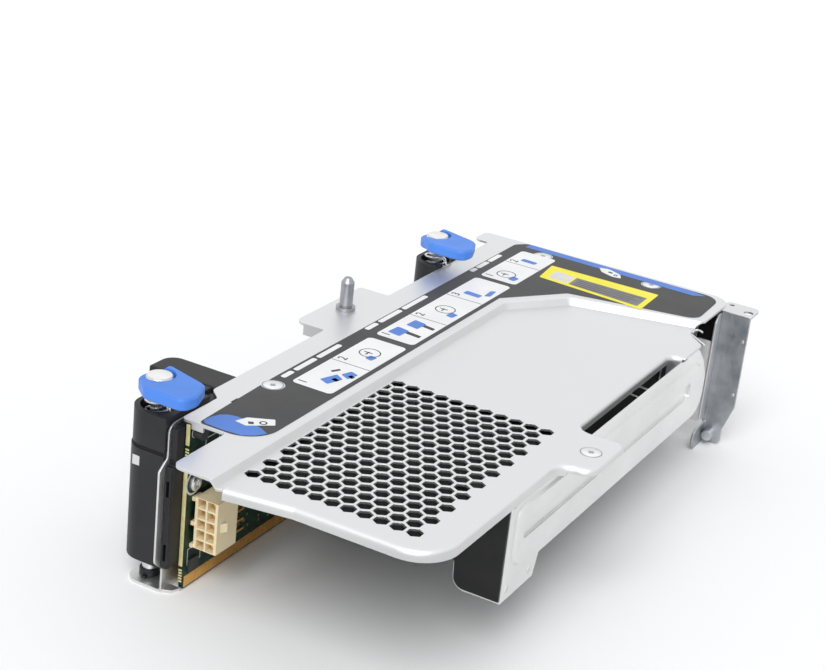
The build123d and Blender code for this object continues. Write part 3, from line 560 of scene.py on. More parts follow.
# generic pictures: a block lifted, turned or pushed, one entry for each step
pictograms = {
    "blocks": [
        [[(-37.5, 87.5), (-33.0, 85.5), (-30.6, 93.0), (-34.8, 95.6)],
         [(-33.6, 96.6), (-29.4, 94.4), (-28.2, 100.2), (-32.0, 101.6)]],
        [[(-35.0, 116.4), (-31.8, 115.6), (-31.2, 119.6), (-34.4, 120.2)]],
        [[(-42.0, 146.0), (-36.0, 145.0), (-35.6, 152.6), (-41.4, 153.6)],
         [(-40.0, 157.6), (-34.2, 156.6), (-33.8, 163.8), (-39.6, 164.8)]],
        [[(-32.8, 178.2), (-29.4, 177.4), (-28.8, 182.0), (-32.2, 182.8)]],
        [[(-39.6, 206.4), (-31.8, 206.0), (-31.6, 209.6), (-39.4, 210.2)],
         [(-31.0, 209.6), (-28.6, 211.0), (-29.4, 218.4), (-31.6, 217.0)]],
        [[(-33.0, 236.2), (-29.6, 235.4), (-29.0, 240.0), (-32.4, 240.8)]],
        [[(-39.4, 261.8), (-32.0, 261.4), (-31.8, 264.6), (-39.2, 265.2)]],
    ],
    "blockRounding": 0.7,
    "dials": [(-36.0, 122.0), (-36.0, 184.0), (-36.0, 241.0)], "dialRadius": 4.4, "dialWall": 0.45,
    "hands": [(-2.6, 1.2, -0.3, 0.3), (-0.9, -0.3, -2.4, 0.6)], "handRounding": 0.2,
    "strokes": [
        [(-35.8, 149.4), (-29.0, 148.6), (-29.0, 151.0), (-35.6, 151.8)],
        [(-34.0, 160.4), (-28.6, 159.6), (-28.6, 161.8), (-33.8, 162.8)],
        [(-38.6, 97.0), (-37.4, 96.2), (-35.6, 99.8), (-36.8, 100.6)],
        [(-34.2, 90.2), (-31.6, 89.4), (-31.0, 91.4), (-33.6, 92.2)],
        [(-30.6, 96.6), (-28.4, 95.6), (-28.0, 97.6), (-30.2, 98.6)],
    ],
    "strokeRounding": 0.3,
}


def addPictograms():
    look, ink = pictograms, labelPrint["inkThickness"]
    for number, outlines in enumerate(look["blocks"], start=1):
        blocks = printShapes(outlines, inkLayer, ink, look["blockRounding"])
        finishPrint(blocks, "pictogramBlock%d" % number, "blueInk")
    marks = []
    for x, y in look["dials"]:
        outer = look["dialRadius"]
        marks.append(addRing((x, y, inkLayer), outer - look["dialWall"], outer, ink))
        for left, right, front, rear in look["hands"]:
            marks.append(addPanel(x + left, x + right, y + front, y + rear, inkLayer, ink,
                                  rounding=look["handRounding"]))
    marks += printShapes(look["strokes"], inkLayer, ink, look["strokeRounding"])
    finishPrint(marks, "pictogramStrokes", "darkInk")


frontPatch = {
    "outline": [(-49.3, 29.6), (-48.9, 33.6), (-47.5, 37.2), (-45.2, 39.1), (-42.2, 39.8), (-38.4, 39.7),
                (-34.6, 38.9), (-30.0, 37.3), (-26.2, 35.2), (-28.6, 31.2), (-32.2, 28.3), (-40.0, 27.5),
                (-47.6, 27.8)],
    "tag": [(-40.6, 36.4), (-38.9, 41.5), (-30.3, 46.5), (-27.7, 42.6), (-35.7, 35.6)], "tagRounding": 0.3,
    "mark": [(-36.9, 38.8), (-35.2, 39.9), (-34.0, 38.4), (-35.6, 37.3)],
    "dot": (-32.0, 41.4), "dotRadii": (0.9, 1.5), "dotSides": 24,
}
rearPatch = {
    "outline": [(-46.0, 280.4), (38.5, 278.2), (43.5, 281.6), (36.0, 283.3), (-45.4, 285.1)], "rounding": 0.6,
    "tag": [(-8.0, 280.4), (-3.6, 281.6), (3.2, 278.6), (5.4, 274.4), (1.2, 273.6), (-5.0, 276.0)],
    "tagRounding": 0.9,
    "mark": [(-2.4, 278.9), (-0.2, 278.4), (-0.4, 277.0), (-2.4, 277.4)],
    "dot": (1.9, 276.3), "dotRadii": (0.5, 1.0), "dotSides": 20,
}
markRounding = 0.2


def addTag(look, name):
    # white tag on a blue shape, with one plain mark and one ring
    thin = labelPrint["markThickness"]
    tag = addPlate(look["tag"], inkLayer, labelPrint["tagThickness"], rounding=look["tagRounding"])
    finishPrint([tag], name, "whiteInk")
    marks = [
        addPlate(look["mark"], tagLayer, thin, rounding=markRounding),
        addRing((*look["dot"], tagLayer), *look["dotRadii"], thin, vertices=look["dotSides"]),
    ]
    finishPrint(marks, name + "Marks", "darkInk")


def addFrontPatch():
    patch = addPlate(frontPatch["outline"], printBase, labelPrint["thickness"])
    finishPrint([patch], "frontPatch", "blueInk")
    addTag(frontPatch, "frontTag")


yellowFrame = {
    "outline": [(-25.6, 266.7), (-23.6, 249.2), (27.4, 245.0), (26.7, 267.5)], "rounding": 0.8,
    "patch": [(-21.4, 261.6), (-20.2, 251.4), (-10.6, 250.6), (-10.8, 260.4)],
    "field": [(-10.0, 260.2), (-9.7, 250.4), (24.6, 247.6), (24.4, 259.6)], "innerRounding": 0.3,
    "lines": 4, "lineTop": 257.6, "linePitch": 2.2, "lineHalf": 0.35, "lineEnds": (-8.0, 22.6), "indent": 3,
}


def addYellowFrame():
    look, thin = yellowFrame, labelPrint["markThickness"]
    band = addPlate(look["outline"], printBase, labelPrint["thickness"], rounding=look["rounding"])
    finishPrint([band], "yellowFrame", "yellowInk")
    patch, field = printShapes([look["patch"], look["field"]], inkLayer, labelPrint["inkThickness"],
                               look["innerRounding"])
    finishPrint([patch], "yellowFramePatch", "paleInk")
    finishPrint([field], "yellowFrameField", "greyInk")
    left, right = look["lineEnds"]
    rows = []
    for row in range(look["lines"]):
        y = look["lineTop"] - row * look["linePitch"]
        rows.append(addPanel(left, right - look["indent"] * (row % 2), y - look["lineHalf"],
                             y + look["lineHalf"], inkLayer + thin, thin, rounding=markRounding))
    finishPrint(rows, "yellowFrameLines", "dimInk")


def addRearPatch():
    strip = addPlate(rearPatch["outline"], printBase, labelPrint["thickness"], rounding=rearPatch["rounding"])
    finishPrint([strip], "rearStripe", "blueInk")
    addTag(rearPatch, "rearTag")


addLabelPanels()
addHeadings()
addStepNumbers()
addPictograms()
addFrontPatch()
addYellowFrame()
addRearPatch()
print("label print done")


def addOnBoard(low, high, bevel, segments=2):
    # a block whose x counts from the board's face
    return addBlock((boardFace + low[0], *low[1:]), (boardFace + high[0], *high[1:]), bevel, segments)


boardEdge = {
    "x": (-54.1, -52.5), "front": 26.3, "proud": 0.22, "depth": 0.1,
    "runs": [(10.0, 53.2), (59.0, 67.4)], "runBevel": 0.08,
    "bites": [(3.4, 9.6), (53.6, 58.6)], "bitePitch": 1.15, "biteHeight": 0.7, "biteBevel": 0.15,
}


def addBoardEdge():
    # pale laminate on the board's front edge, with two rows of small teeth
    look = boardEdge
    left, right = look["x"]
    front, rear = look["front"] - look["proud"], look["front"] + look["depth"]
    made = [addBlock((left, front, low), (right, rear, high), look["runBevel"]) for low, high in look["runs"]]
    moves = []
    for low, high in look["bites"]:
        z = low
        while z + look["biteHeight"] < high:
            moves.append((0, 0, z))
            z += look["bitePitch"]
    tooth = addBlock((left, front, 0), (right, rear, look["biteHeight"]), look["biteBevel"])
    made += repeatPiece(tooth, moves)
    finishPiece(joinPieces(made), "boardEdge", finishes["boardLaminate"])


contactBands = {
    "front": 27.6, "rear": 157.8, "low": 0.7, "high": 5.3, "bevel": 0.02,
    "faces": {"contactBand": (boardFace - 0.02, boardFace + 0.06), "contactBandRear": (-54.16, -54.08)},
}


def addContactBands():
    look = contactBands
    for name, (left, right) in look["faces"].items():
        band = addBlock((left, look["front"], look["low"]), (right, look["rear"], look["high"]),
                        look["bevel"], 1)
        finishPiece(band, name, finishes["goldPad"])


boardTraces = {
    "halfWidth": 0.15, "thickness": 0.05,
    "lower": {"count": 14, "z": 8.2, "pitch": 0.85, "start": 60, "startStep": 2.0, "startSteps": 5,
              "end": 150, "endStep": 6, "endSteps": 4, "bend": (30, 22), "rise": 8},
    "upper": {"count": 10, "z": 50.5, "pitch": 0.9, "start": 45, "startStep": 2.5, "startSteps": 3,
              "end": 120, "endStep": 4, "endSteps": 3, "bend": 6, "rise": 3},
    "stubs": {"count": 7, "y": 28.4, "pitch": 0.8, "low": 6.4, "high": 9.0, "step": 0.4},
}


def traceEnds(look, index):
    start = look["start"] + look["startStep"] * (index % look["startSteps"])
    end = look["end"] + look["endStep"] * (index % look["endSteps"])
    return start, end, look["z"] + index * look["pitch"]


def traceRoutes():
    # each route is a list of (y, z) on the board's face
    routes = []
    lower, upper, stubs = boardTraces["lower"], boardTraces["upper"], boardTraces["stubs"]
    for index in range(lower["count"]):
        start, end, z = traceEnds(lower, index)
        far, near = lower["bend"]
        raised = z + lower["rise"]
        routes.append([(start, z), (end - far, z), (end - near, raised), (end, raised)])
    for index in range(upper["count"]):
        start, end, z = traceEnds(upper, index)
        routes.append([(start, z - upper["rise"]), (start + upper["bend"], z), (end, z)])
    for index in range(stubs["count"]):
        y = stubs["y"] + index * stubs["pitch"]
        routes.append([(y, stubs["low"]), (y, stubs["high"] + index * stubs["step"])])
    return routes


def addTraces():
    look = boardTraces
    bars = []
    for route in traceRoutes():
        for (ya, za), (yb, zb) in zip(route, route[1:]):
            length = math.hypot(yb - ya, zb - za)
            ny = -(zb - za) / length * look["halfWidth"]
            nz = (yb - ya) / length * look["halfWidth"]
            corners = [(ya + ny, za + nz), (ya - ny, za - nz), (yb - ny, zb - nz), (yb + ny, zb + nz)]
            bars.append(addPlate(corners, inkFace, look["thickness"], "side"))
    finishPiece(joinPieces(bars), "boardTraces", finishes["copperTrace"])


boardSilk = {
    "thickness": 0.05, "line": 0.25, "ringThickness": 0.06,
    "rings": [((30.5, 43.0), (4.1, 4.9)), ((29.6, 63.4), (1.7, 2.2))],
    "frames": [(36.4, 50.6, 8.4, 7.6), (43.0, 58.0, 4.8, 2.8), (29.0, 9.2, 8.0, 6.6)],
    "dashes": 9, "dashStart": 46, "dashPitch": 1.6, "dashLength": 1.0, "dashZ": (44.2, 44.5),
}


def addSilk():
    look, line = boardSilk, boardSilk["line"]
    marks = [addRing((inkFace, *centre), *radii, look["ringThickness"], "side")
             for centre, radii in look["rings"]]
    panels = []
    for y, z, wide, tall in look["frames"]:
        panels += [
            (y, y + wide, z, z + line), (y, y + wide, z + tall, z + tall + line),
            (y, y + line, z, z + tall), (y + wide, y + wide + line, z, z + tall),
        ]
    for index in range(look["dashes"]):
        y = look["dashStart"] + index * look["dashPitch"]
        panels.append((y, y + look["dashLength"], *look["dashZ"]))
    marks += [addPanel(*edges, inkFace, look["thickness"], "side", rounding=0) for edges in panels]
    finishPiece(joinPieces(marks), "boardSilk", finishes["silkInk"])


smallParts = {
    "body": ((0, 0, 0), (0.7, 1.4, 1.0)), "end": ((0, -0.45, -0.02), (0.74, 0.1, 1.02)),
    "endPitch": 1.75, "bevel": 0.08,
    "places": [(44.5, 59.4), (44.5, 61.6), (52.0, 46.0), (52.0, 49.0), (56.0, 46.0), (56.0, 49.0),
               (30.4, 52.0), (33.4, 52.0), (30.4, 49.6), (46.0, 13.0), (49.0, 13.0), (52.0, 13.0),
               (55.0, 13.0), (47.0, 17.0), (64.0, 57.0), (68.0, 57.0), (72.0, 60.0), (76.0, 60.0),
               (100.0, 56.0), (104.0, 56.0), (110.0, 60.0), (96.0, 20.0), (100.0, 20.0), (104.0, 22.0),
               (108.0, 26.0), (112.0, 30.0), (118.0, 44.0), (122.0, 44.0)],
}


def addSmallParts():
    look = smallParts
    bodies = repeatPiece(addOnBoard(*look["body"], look["bevel"]), [(0, y, z) for y, z in look["places"]])
    endPlaces = [(0, y + shift, z) for y, z in look["places"] for shift in (0, look["endPitch"])]
    ends = repeatPiece(addOnBoard(*look["end"], look["bevel"]), endPlaces)
    finishPiece(joinPieces(bodies), "chipParts", finishes["chipBody"])
    finishPiece(joinPieces(ends), "chipEnds", finishes["tinLead"])


boardVias = {
    "count": 70, "radii": (0.3, 0.55), "thickness": 0.06, "sides": 12,
    "y": (44, 146), "z": ((8, 20), (44, 62)),
}


def addVias():
    look = boardVias
    moves = []
    for index in range(look["count"]):
        y = random.uniform(*look["y"])
        z = random.choice([random.uniform(*span) for span in look["z"]])
        moves.append((0, y, z))
    ring = addRing((inkFace, 0, 0), *look["radii"], look["thickness"], "side", vertices=look["sides"])
    finishPiece(joinPieces(repeatPiece(ring, moves)), "boardVias", finishes["goldPad"])


capacitorLids = {
    "levels": (30.0, 41.0), "y": 56.3, "base": 7.4, "radius": 3.7, "thickness": 0.3, "bevel": 0.15,
    "score": (53.4, 59.2), "scoreHalf": 0.18, "scoreBase": 7.68, "scoreThickness": 0.08,
}


def addCans():
    # lids of the board's two round parts, with a score across each
    look = capacitorLids
    lids = []
    for z in look["levels"]:
        lids.append(addDisc((boardFace + look["base"], look["y"], z), look["radius"], look["thickness"],
                            "side", look["bevel"]))
        lids.append(addPanel(*look["score"], z - look["scoreHalf"], z + look["scoreHalf"],
                             boardFace + look["scoreBase"], look["scoreThickness"], "side", rounding=0))
    finishPiece(joinPieces(lids), "capacitorLids", finishes["capacitorCan"])


chipLegs = {
    "leg": ((0.05, 0, 0), (0.6, 0.9, 0.35)), "bevel": 0.05,
    "rows": (69.45, 88.25), "low": 22.6, "pitch": 0.85, "count": 20,
}


def addChipLegs():
    # legs of the flat package, both long sides
    look = chipLegs
    moves = [(0, y, look["low"] + index * look["pitch"])
             for index in range(look["count"]) for y in look["rows"]]
    legs = repeatPiece(addOnBoard(*look["leg"], look["bevel"], 1), moves)
    finishPiece(joinPieces(legs), "chipLegs", finishes["tinLead"])


slotContacts = {
    "levels": (54.0, 33.68, 13.36), "x": (4.2, 11.25), "y": (153.4, 153.9), "rowOffset": 1.25,
    "halfHeight": 0.3, "bevel": 0.08, "count": 70, "pitch": 1.0,
}


def addSlotContacts():
    # two rows of contacts in each card connector
    look = slotContacts
    (left, right), (front, rear) = look["x"], look["y"]
    for number, level in enumerate(look["levels"], start=1):
        rows = []
        for turn in (-1, 1):
            z = level + turn * look["rowOffset"]
            pin = addOnBoard((left, front, z - look["halfHeight"]), (right, rear, z + look["halfHeight"]),
                             look["bevel"], 1)
            applyModifier(pin, "ARRAY", count=look["count"], use_relative_offset=False,
                          use_constant_offset=True,
                          constant_offset_displace=(0, look["pitch"] * millimetre, 0))
            rows.append(pin)
        finishPiece(joinPieces(rows), "slotContacts%d" % number, finishes["goldPad"])


headerTerminals = {
    "columns": (-48.4, -44.2), "top": 35.55, "rows": 5, "pitch": 4.2, "offset": 1.25,
    "halfWidth": 0.18, "halfHeight": 0.9, "y": (33.0, 39.2), "bevel": 0.1,
}


def addHeaderTerminals():
    # metal linings deep in the ten cells of the power header
    look = headerTerminals
    front, rear = look["y"]
    lining = []
    for column in look["columns"]:
        for row in range(look["rows"]):
            z = look["top"] - row * look["pitch"]
            for turn in (-1, 1):
                x = column + turn * look["offset"]
                low = (x - look["halfWidth"], front, z - look["halfHeight"])
                high = (x + look["halfWidth"], rear, z + look["halfHeight"])
                lining.append(addBlock(low, high, look["bevel"], 1))
    finishPiece(joinPieces(lining), "headerTerminals", finishes["goldPad"])


addBoardEdge()
addContactBands()
addTraces()
addSilk()
addSmallParts()
addVias()
addCans()
addChipLegs()
addSlotContacts()
addHeaderTerminals()
print("board details done")


latchSpring = {
    "seat": 54.0, "top": 75.5, "radius": 4.6, "wire": 0.5, "wireSides": 10, "turns": 5.5, "stepsPerTurn": 24,
    "weld": 0.01, "travel": 6.0, "hookWire": 0.45,
    "hook": [(4.4, -2.4, 72.2), (6.2, -2.6, 71.8), (6.9, -2.4, 70.0), (6.6, -2.0, 68.8), (7.2, -2.2, 67.8)],
}


def addSpring(side):
    # wire coil with the hook at its upper end
    look, y = latchSpring, latchY[side]
    clearSelection()
    bpy.ops.mesh.primitive_circle_add(vertices=look["wireSides"], radius=look["wire"] * millimetre,
                                      location=(look["radius"] * millimetre, 0, 0),
                                      rotation=(math.pi / 2, 0, 0))
    coil = bpy.context.object
    applyPlace(coil)
    rise = look["top"] - look["seat"] - 2 * look["wire"]
    steps = int(look["turns"] * look["stepsPerTurn"])
    applyModifier(coil, "SCREW", angle=2 * math.pi * look["turns"], screw_offset=rise * millimetre,
                  iterations=1, steps=steps, render_steps=steps)
    pick(coil)
    bpy.ops.object.mode_set(mode="EDIT")
    bpy.ops.mesh.select_all(action="SELECT")
    bpy.ops.mesh.remove_doubles(threshold=look["weld"] * millimetre)
    bpy.ops.mesh.fill_holes(sides=0)
    bpy.ops.mesh.select_all(action="SELECT")
    bpy.ops.mesh.normals_make_consistent(inside=False)
    bpy.ops.object.mode_set(mode="OBJECT")
    coil.location = spot(latchX, y, look["seat"] + look["wire"])
    applyPlace(coil)
    hook = addWire([(latchX + dx, y + dy, z) for dx, dy, z in look["hook"]], look["hookWire"])
    coil = finishPiece(joinPieces([coil, hook]), side + "Coil", finishes["springSteel"])
    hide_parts(side + "_latch_spring")
    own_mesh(coil)


boreLip = {"base": 69.6, "radii": (6.5, 7.0), "height": 0.55, "sides": 56, "bevel": 0.12}
headCap = {"base": 81.35, "radius": 4.45, "height": 0.3, "sides": 48, "bevel": 0.12}
footSleeve = {"base": 1.3, "radii": (3.1, 3.9), "height": 2.6, "sides": 32, "bevel": 0.2}
footTabs = {"count": 3, "firstAngle": 40, "reach": 4.4, "half": 0.9, "low": 1.25, "high": 2.1, "bevel": 0.2}


def addLatchRing(look, y):
    return addRing((latchX, y, look["base"]), *look["radii"], look["height"], vertices=look["sides"],
                   bevel=look["bevel"])


def addLatchDetails(side):
    y = latchY[side]
    finishPiece(addLatchRing(boreLip, y), side + "BoreLip", finishes["blackPlastic"])
    cap = addDisc((latchX, y, headCap["base"]), headCap["radius"], headCap["height"], bevel=headCap["bevel"],
                  vertices=headCap["sides"])
    finishPiece(cap, side + "HeadCap", finishes["headPlastic"], side + "_latch")
    sleeve = addLatchRing(footSleeve, y)
    finishPiece(sleeve, side + "FootSleeve", finishes["blackPlastic"], side + "_latch")
    look = footTabs
    half = look["half"]
    tabs = []
    for turn in range(look["count"]):
        angle = math.radians(look["firstAngle"] + 360 / look["count"] * turn)
        cx, cy = latchX + look["reach"] * math.cos(angle), y + look["reach"] * math.sin(angle)
        tabs.append(addBlock((cx - half, cy - half, look["low"]), (cx + half, cy + half, look["high"]),
                             look["bevel"]))
    finishPiece(joinPieces(tabs), side + "FootTabs", finishes["blackPlastic"])


for side in latchY:
    addSpring(side)
    addLatchDetails(side)


innerBacking = {
    "outline": [(-57.15, 19.0), (-55.0, 19.3), (-54.2, 20.4), (-54.2, 26.2), (-57.15, 26.2)],
    "low": 11.0, "high": 52.0, "bevel": 0.25,
    # upper: black block in the dark gap between wall and board up to the deck, painted shade
    "upper": ((-57.15, 21.4, 48.0), (-54.5, 50.0, 66.4)), "upperBevel": 0.3,
    "rib": ((-54.75, 18.9, 13.0), (-54.45, 20.4, 50.5)), "ribBevel": 0.1,
    "slots": [(14.0, 21.0), (40.0, 46.5)], "slotX": (-56.5, -55.3), "slotY": (17.0, 22.0),
    "slotBevel": 0.1,
}


def addInnerBacking():
    # moulded backing between the left wall and the board, slim enough to show the board's edge; its upper
    # block, up to the deck, is black plastic put in the dark gap between wall and board: painted shade
    look = innerBacking
    body = addPlate(look["outline"], look["low"], look["high"] - look["low"], bevel=look["bevel"])
    (left, right), (front, rear) = look["slotX"], look["slotY"]
    for low, high in look["slots"]:
        cutter = addBlock((left, front, low), (right, rear, high), look["slotBevel"], 1)
        applyModifier(body, "BOOLEAN", object=cutter, operation="DIFFERENCE", solver="EXACT")
        bpy.data.objects.remove(cutter)
    rib = addBlock(*look["rib"], look["ribBevel"])
    upper = addBlock(*look["upper"], look["upperBevel"])
    backing = finishPiece(joinPieces([body, rib, upper]), "innerBacking", finishes["blackPlastic"])
    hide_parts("inner_block")


housingPanels = {"x": (-9.1, -8.7), "y": (6.0, 21.0), "levels": (20.0, 34.0), "height": 10.0, "bevel": 0.15}


def addHousingPanels(side):
    # two shallow panels on the flat of the housing
    look, middle = housingPanels, latchY[side]
    left, right = [latchX + x for x in look["x"]]
    front, rear = [middle + y for y in look["y"]]
    panels = [addBlock((left, front, z), (right, rear, z + look["height"]), look["bevel"])
              for z in look["levels"]]
    finishPiece(joinPieces(panels), side + "HousingPanels", finishes["blackPlastic"])


addInnerBacking()
for side in latchY:
    addHousingPanels(side)
print("latch details done")


weldSpots = {
    "height": 0.12, "bevel": 0.1, "sides": 28,
    "wallWeldSpots": {
        "face": -58.46, "facing": "outside", "radius": 2.0, "slot": "left_wall",
        "places": [(95, 60), (125, 60), (165, 60), (195, 60), (75, 20), (120, 20), (160, 20), (200, 20)],
    },
    "sideWeldSpots": {
        "face": 60.95, "facing": "side", "radius": 1.6, "slot": "side_wall", "places": [(60, 28), (78, 28)],
    },
}


def addWeldSpots(name):
    look = weldSpots[name]
    dot = addDisc((look["face"], 0, 0), look["radius"], weldSpots["height"], look["facing"],
                  weldSpots["bevel"], weldSpots["sides"])
    dots = repeatPiece(dot, [(0, y, z) for y, z in look["places"]])
    finishPiece(joinPieces(dots), name, finishes["wallSteel"])


flushScrews = {
    "places": [(-47.8, 71.3, upperLevel), (-34.5, 275.8, upperLevel), (19.0, 277.3, upperLevel),
               (67.2, 106.0, 66.0)],
    "sides": 48, "gap": (3.75, 4.15), "gapThickness": 0.06,
    "face": 3.75, "faceSink": 0.02, "faceThickness": 0.1, "faceBevel": 0.05,
    "lobes": 6, "lobeReach": (0.85, 1.5), "recessBase": 0.07, "recessThickness": 0.04,
}


def addScrewRings():
    # dark steel ring round each flush screw: painted shade in the gap round the head
    look = flushScrews
    rings = [addRing(place, *look["gap"], look["gapThickness"], vertices=look["sides"])
             for place in look["places"]]
    finishPiece(joinPieces(rings), "screwGapShade", finishes["pinSteel"])


def addScrewFaces():
    # bright flat heads, each with a dark six-lobed mark on top: painted shade for the hollow of the recess
    look = flushScrews
    points = 2 * look["lobes"]
    faces, marks = [], []
    for x, y, z in look["places"]:
        faces.append(addDisc((x, y, z - look["faceSink"]), look["face"], look["faceThickness"],
                             bevel=look["faceBevel"], vertices=look["sides"]))
        outline = []
        for step in range(points):
            angle, reach = math.radians(360 / points * step), look["lobeReach"][step % 2]
            outline.append((x + reach * math.cos(angle), y + reach * math.sin(angle)))
        marks.append(addPlate(outline, z + look["recessBase"], look["recessThickness"]))
    finishPiece(joinPieces(faces), "screwFaces", finishes["paleZinc"])
    finishPiece(joinPieces(marks), "screwRecessShade", finishes["pinSteel"])


slotShade = {"low": (-51.15, 48.6, 68.15), "high": (-49.85, 52.9, 68.6), "bevel": 0.05}


def addSlotBacking():
    # dark block under the narrow slot beside the label: painted shade for the dark cage seen through the slot
    backing = addBlock(slotShade["low"], slotShade["high"], slotShade["bevel"], 1)
    finishPiece(backing, "slotShade", finishes["slotPlastic"])


stripReturn = {
    "outline": [(277.2, 12.5), (283.9, 10.5), (283.9, 63.0), (279.6, 63.0), (277.2, 60.0)],
    "face": 51.02, "thickness": 0.95, "bevel": 0.25,
}
stripDoubler = {
    "edges": (43.5, 51.1, 11.0, 50.5), "face": 279.0, "thickness": 0.8, "rounding": 1.2, "bevel": 0.2,
}
stripDimples = {
    "x": 63.2, "face": 284.0, "levels": (52.0, 26.0), "radius": 0.9, "height": 0.35, "bevel": 0.2,
    "sides": 20,
}


def addStripDetails():
    # narrow return bent forwards from the inner edge of the rear strip, and what lies beside it
    look = stripReturn
    edge = addPlate(look["outline"], look["face"], look["thickness"], "side", bevel=look["bevel"])
    finishPiece(edge, "stripReturn", finishes["wallSteel"])
    # the doubler takes paleZinc, a lighter and less metallic steel, so that it stays bright in the shade
    # under the deck: painted light
    look = stripDoubler
    doubler = addPanel(*look["edges"], look["face"], look["thickness"], "front", look["rounding"],
                       look["bevel"])
    finishPiece(doubler, "stripDoubler", finishes["paleZinc"])
    look = stripDimples
    dimples = [addDisc((look["x"], look["face"], z), look["radius"], look["height"], "front", look["bevel"],
                       look["sides"]) for z in look["levels"]]
    finishPiece(joinPieces(dimples), "stripDimples", finishes["deckSteel"])


cornerLip = {
    "bar": ((52.6, 242.0, 65.7), (61.8, 234.4, 65.7)), "barRadius": 0.55, "barSides": 14, "barBevel": 0.15,
    "hook": [(56.0, 246.5, 66.3), (54.6, 247.8, 66.2), (53.0, 248.0, 66.0), (52.0, 246.8, 65.8),
             (52.4, 244.6, 65.4)],
    "hookRadius": 0.45,
}


def addCornerLip():
    # rolled lip and bent wire at the deck's rear right corner
    look = cornerLip
    lip = addBar(*look["bar"], look["barRadius"], look["barSides"], look["barBevel"])
    hook = addWire(look["hook"], look["hookRadius"])
    finishPiece(joinPieces([lip, hook]), "cornerLip", finishes["deckSteel"])


shadeFilmShape = {
    "base": 63.45, "thickness": 0.25, "overlap": 0.1,
    "outline": [(-28, 4), (46, 4), (57, 15), (57, 54.8), (38, 54.8), (38, 58.4), (53.2, 58.4), (53.2, 216),
                (-28, 216)],
    "lipLow": 53.0, "lipChamfer": 2, "foldY": (121.0, 123.0, 213.0, 215.5), "foldFace": 52.95,
    "endX": (22.0, 52.9), "endFace": 215.9,
    "tape": ((37.8, 54.6, 64.9), (57.5, 58.6, 65.15)), "tapeBevel": 0.03,
    "flap": (43.5, 51.1, 50.0, 62.0), "flapFace": 279.4, "flapRounding": 0.5,
}


def addLiner():
    # black film under the lower level, folded down beside the cut-out: painted shade, a dark sheet put where
    # the vent holes and the cut-out look into the shaded cage
    look, thin = shadeFilmShape, shadeFilmShape["thickness"]
    top, low = look["base"] + look["overlap"], look["lipLow"]
    shoulder = low + look["lipChamfer"]
    film = addPlate(look["outline"], look["base"], thin)
    front, frontFoot, rearFoot, rear = look["foldY"]
    fold = addPlate([(front, shoulder), (frontFoot, low), (rearFoot, low), (rear, shoulder), (rear, top),
                     (front, top)], look["foldFace"], thin, "side")
    left, right = look["endX"]
    end = addPlate([(left, shoulder), (right, shoulder), (right, top), (left, top)], look["endFace"], thin,
                   "front")
    tape = addBlock(*look["tape"], look["tapeBevel"], 1)
    flap = addPanel(*look["flap"], look["flapFace"], thin, "front", look["flapRounding"])
    shadeSheet = joinPieces([film, fold, end, tape, flap])
    finishPiece(shadeSheet, "shadeFilm", finishes["shadeFilm"])


cutoutWires = {
    "runs": [((53.5, 208.2, 63.0), (53.5, 207.8, 56.1)), ((53.6, 183.7, 61.6), (53.6, 198.7, 54.7)),
             ((53.5, 173.5, 62.1), (53.5, 186.0, 56.0))],
    "radius": 0.38, "sides": 12, "bevel": 0.1,
}


def addCutoutWires():
    # straight wires on the folded film, seen through the cable cut-out
    look = cutoutWires
    wires = [addBar(start, end, look["radius"], look["sides"], look["bevel"]) for start, end in look["runs"]]
    finishPiece(joinPieces(wires), "cutoutWires", finishes["springSteel"])


addWeldSpots("wallWeldSpots")
addWeldSpots("sideWeldSpots")
addScrewRings()
addSlotBacking()
addStripDetails()
addCornerLip()
addLiner()
addScrewFaces()
addCutoutWires()
print("sheet metal details done")


stageFloor = {
    "size": 9,
    "paint": {"base": (0.98, 0.98, 0.98), "tint": (0.985, 0.985, 0.985), "rough": (0.7, 0.8), "broad": 2,
              "fine": 60, "bump": 0.01, "specular": 0.2},
}
stageSky = {
    "seen": {"Color": (1, 1, 1, 1), "Strength": 1.0},
    "soft": {"Color": (0.97, 0.985, 1, 1), "Strength": 0.65},
}
stageSun = {"height": 2, "strength": 1.7, "angle": 40, "tilt": (40, 14, 0)}


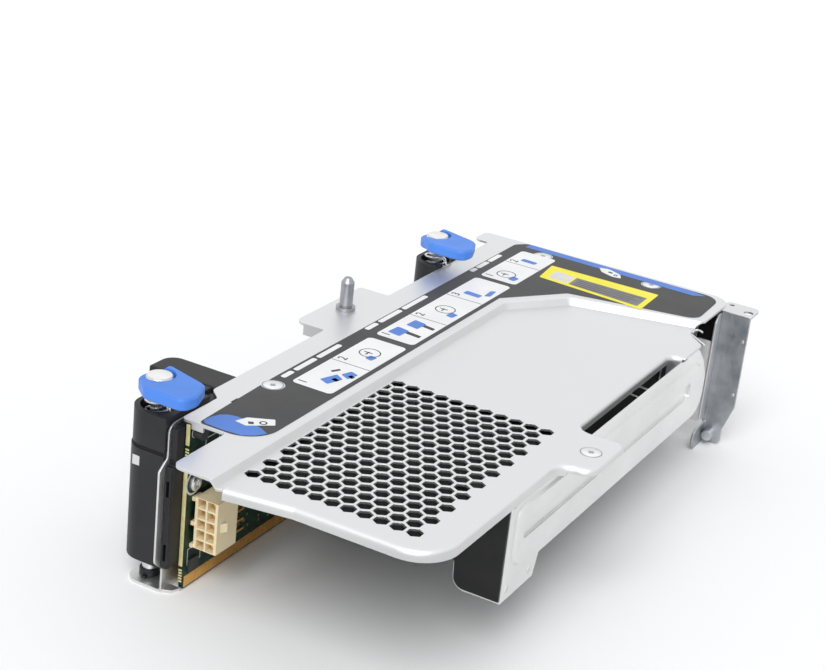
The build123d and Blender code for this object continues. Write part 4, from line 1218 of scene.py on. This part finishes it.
def addFloor():
    clearSelection()
    bpy.ops.mesh.primitive_plane_add(size=stageFloor["size"], location=(0, 0, 0))
    floor = bpy.context.object
    floor.name = "studioFloor"
    floor.data.materials.append(makeFinish("floorPaint", stageFloor["paint"]))


def addSky():
    # the camera, reflections and glass see plain white, the object itself gets the softer light
    world = bpy.data.worlds.new("studioWorld")
    bpy.context.scene.world = world
    world.use_nodes = True
    nodes, links = world.node_tree.nodes, world.node_tree.links
    seen = nodes["Background"]
    soft = nodes.new("ShaderNodeBackground")
    for shader, light in ((seen, stageSky["seen"]), (soft, stageSky["soft"])):
        for socket, value in light.items():
            shader.inputs[socket].default_value = value
    rays = nodes.new("ShaderNodeLightPath")
    clearRay = rays.outputs["Is Camera Ray"]
    for kind in ("Is Glossy Ray", "Is Transmission Ray"):
        either = nodes.new("ShaderNodeMath")
        either.operation = "MAXIMUM"
        links.new(clearRay, either.inputs[0])
        links.new(rays.outputs[kind], either.inputs[1])
        clearRay = either.outputs[0]
    mix = nodes.new("ShaderNodeMixShader")
    links.new(clearRay, mix.inputs[0])
    links.new(soft.outputs[0], mix.inputs[1])
    links.new(seen.outputs[0], mix.inputs[2])
    links.new(mix.outputs[0], nodes["World Output"].inputs["Surface"])


def addSun():
    look = stageSun
    clearSelection()
    bpy.ops.object.light_add(type="SUN", location=(0, 0, look["height"]),
                             rotation=[math.radians(turn) for turn in look["tilt"]])
    sun = bpy.context.object
    sun.name = "softKey"
    sun.data.energy = look["strength"]
    sun.data.angle = math.radians(look["angle"])


cameraPlace = {
    "location": (0.28663, -0.59852, 0.34765), "turn": (1.17810818, -0.10180541, 0.51352668),
    "lens": 79.165, "sensor": 36, "shift": (-0.005946, 0.002070),
}


def addCamera():
    clearSelection()
    bpy.ops.object.camera_add(location=cameraPlace["location"], rotation=cameraPlace["turn"])
    camera = bpy.context.object
    camera.name = "photoCamera"
    camera.data.lens = cameraPlace["lens"]
    camera.data.sensor_width = cameraPlace["sensor"]
    camera.data.shift_x, camera.data.shift_y = cameraPlace["shift"]
    bpy.context.scene.camera = camera


addFloor()
addSky()
addSun()
addCamera()
bpy.context.scene.view_settings.view_transform = "Standard"
print("stage done")

clearSelection()
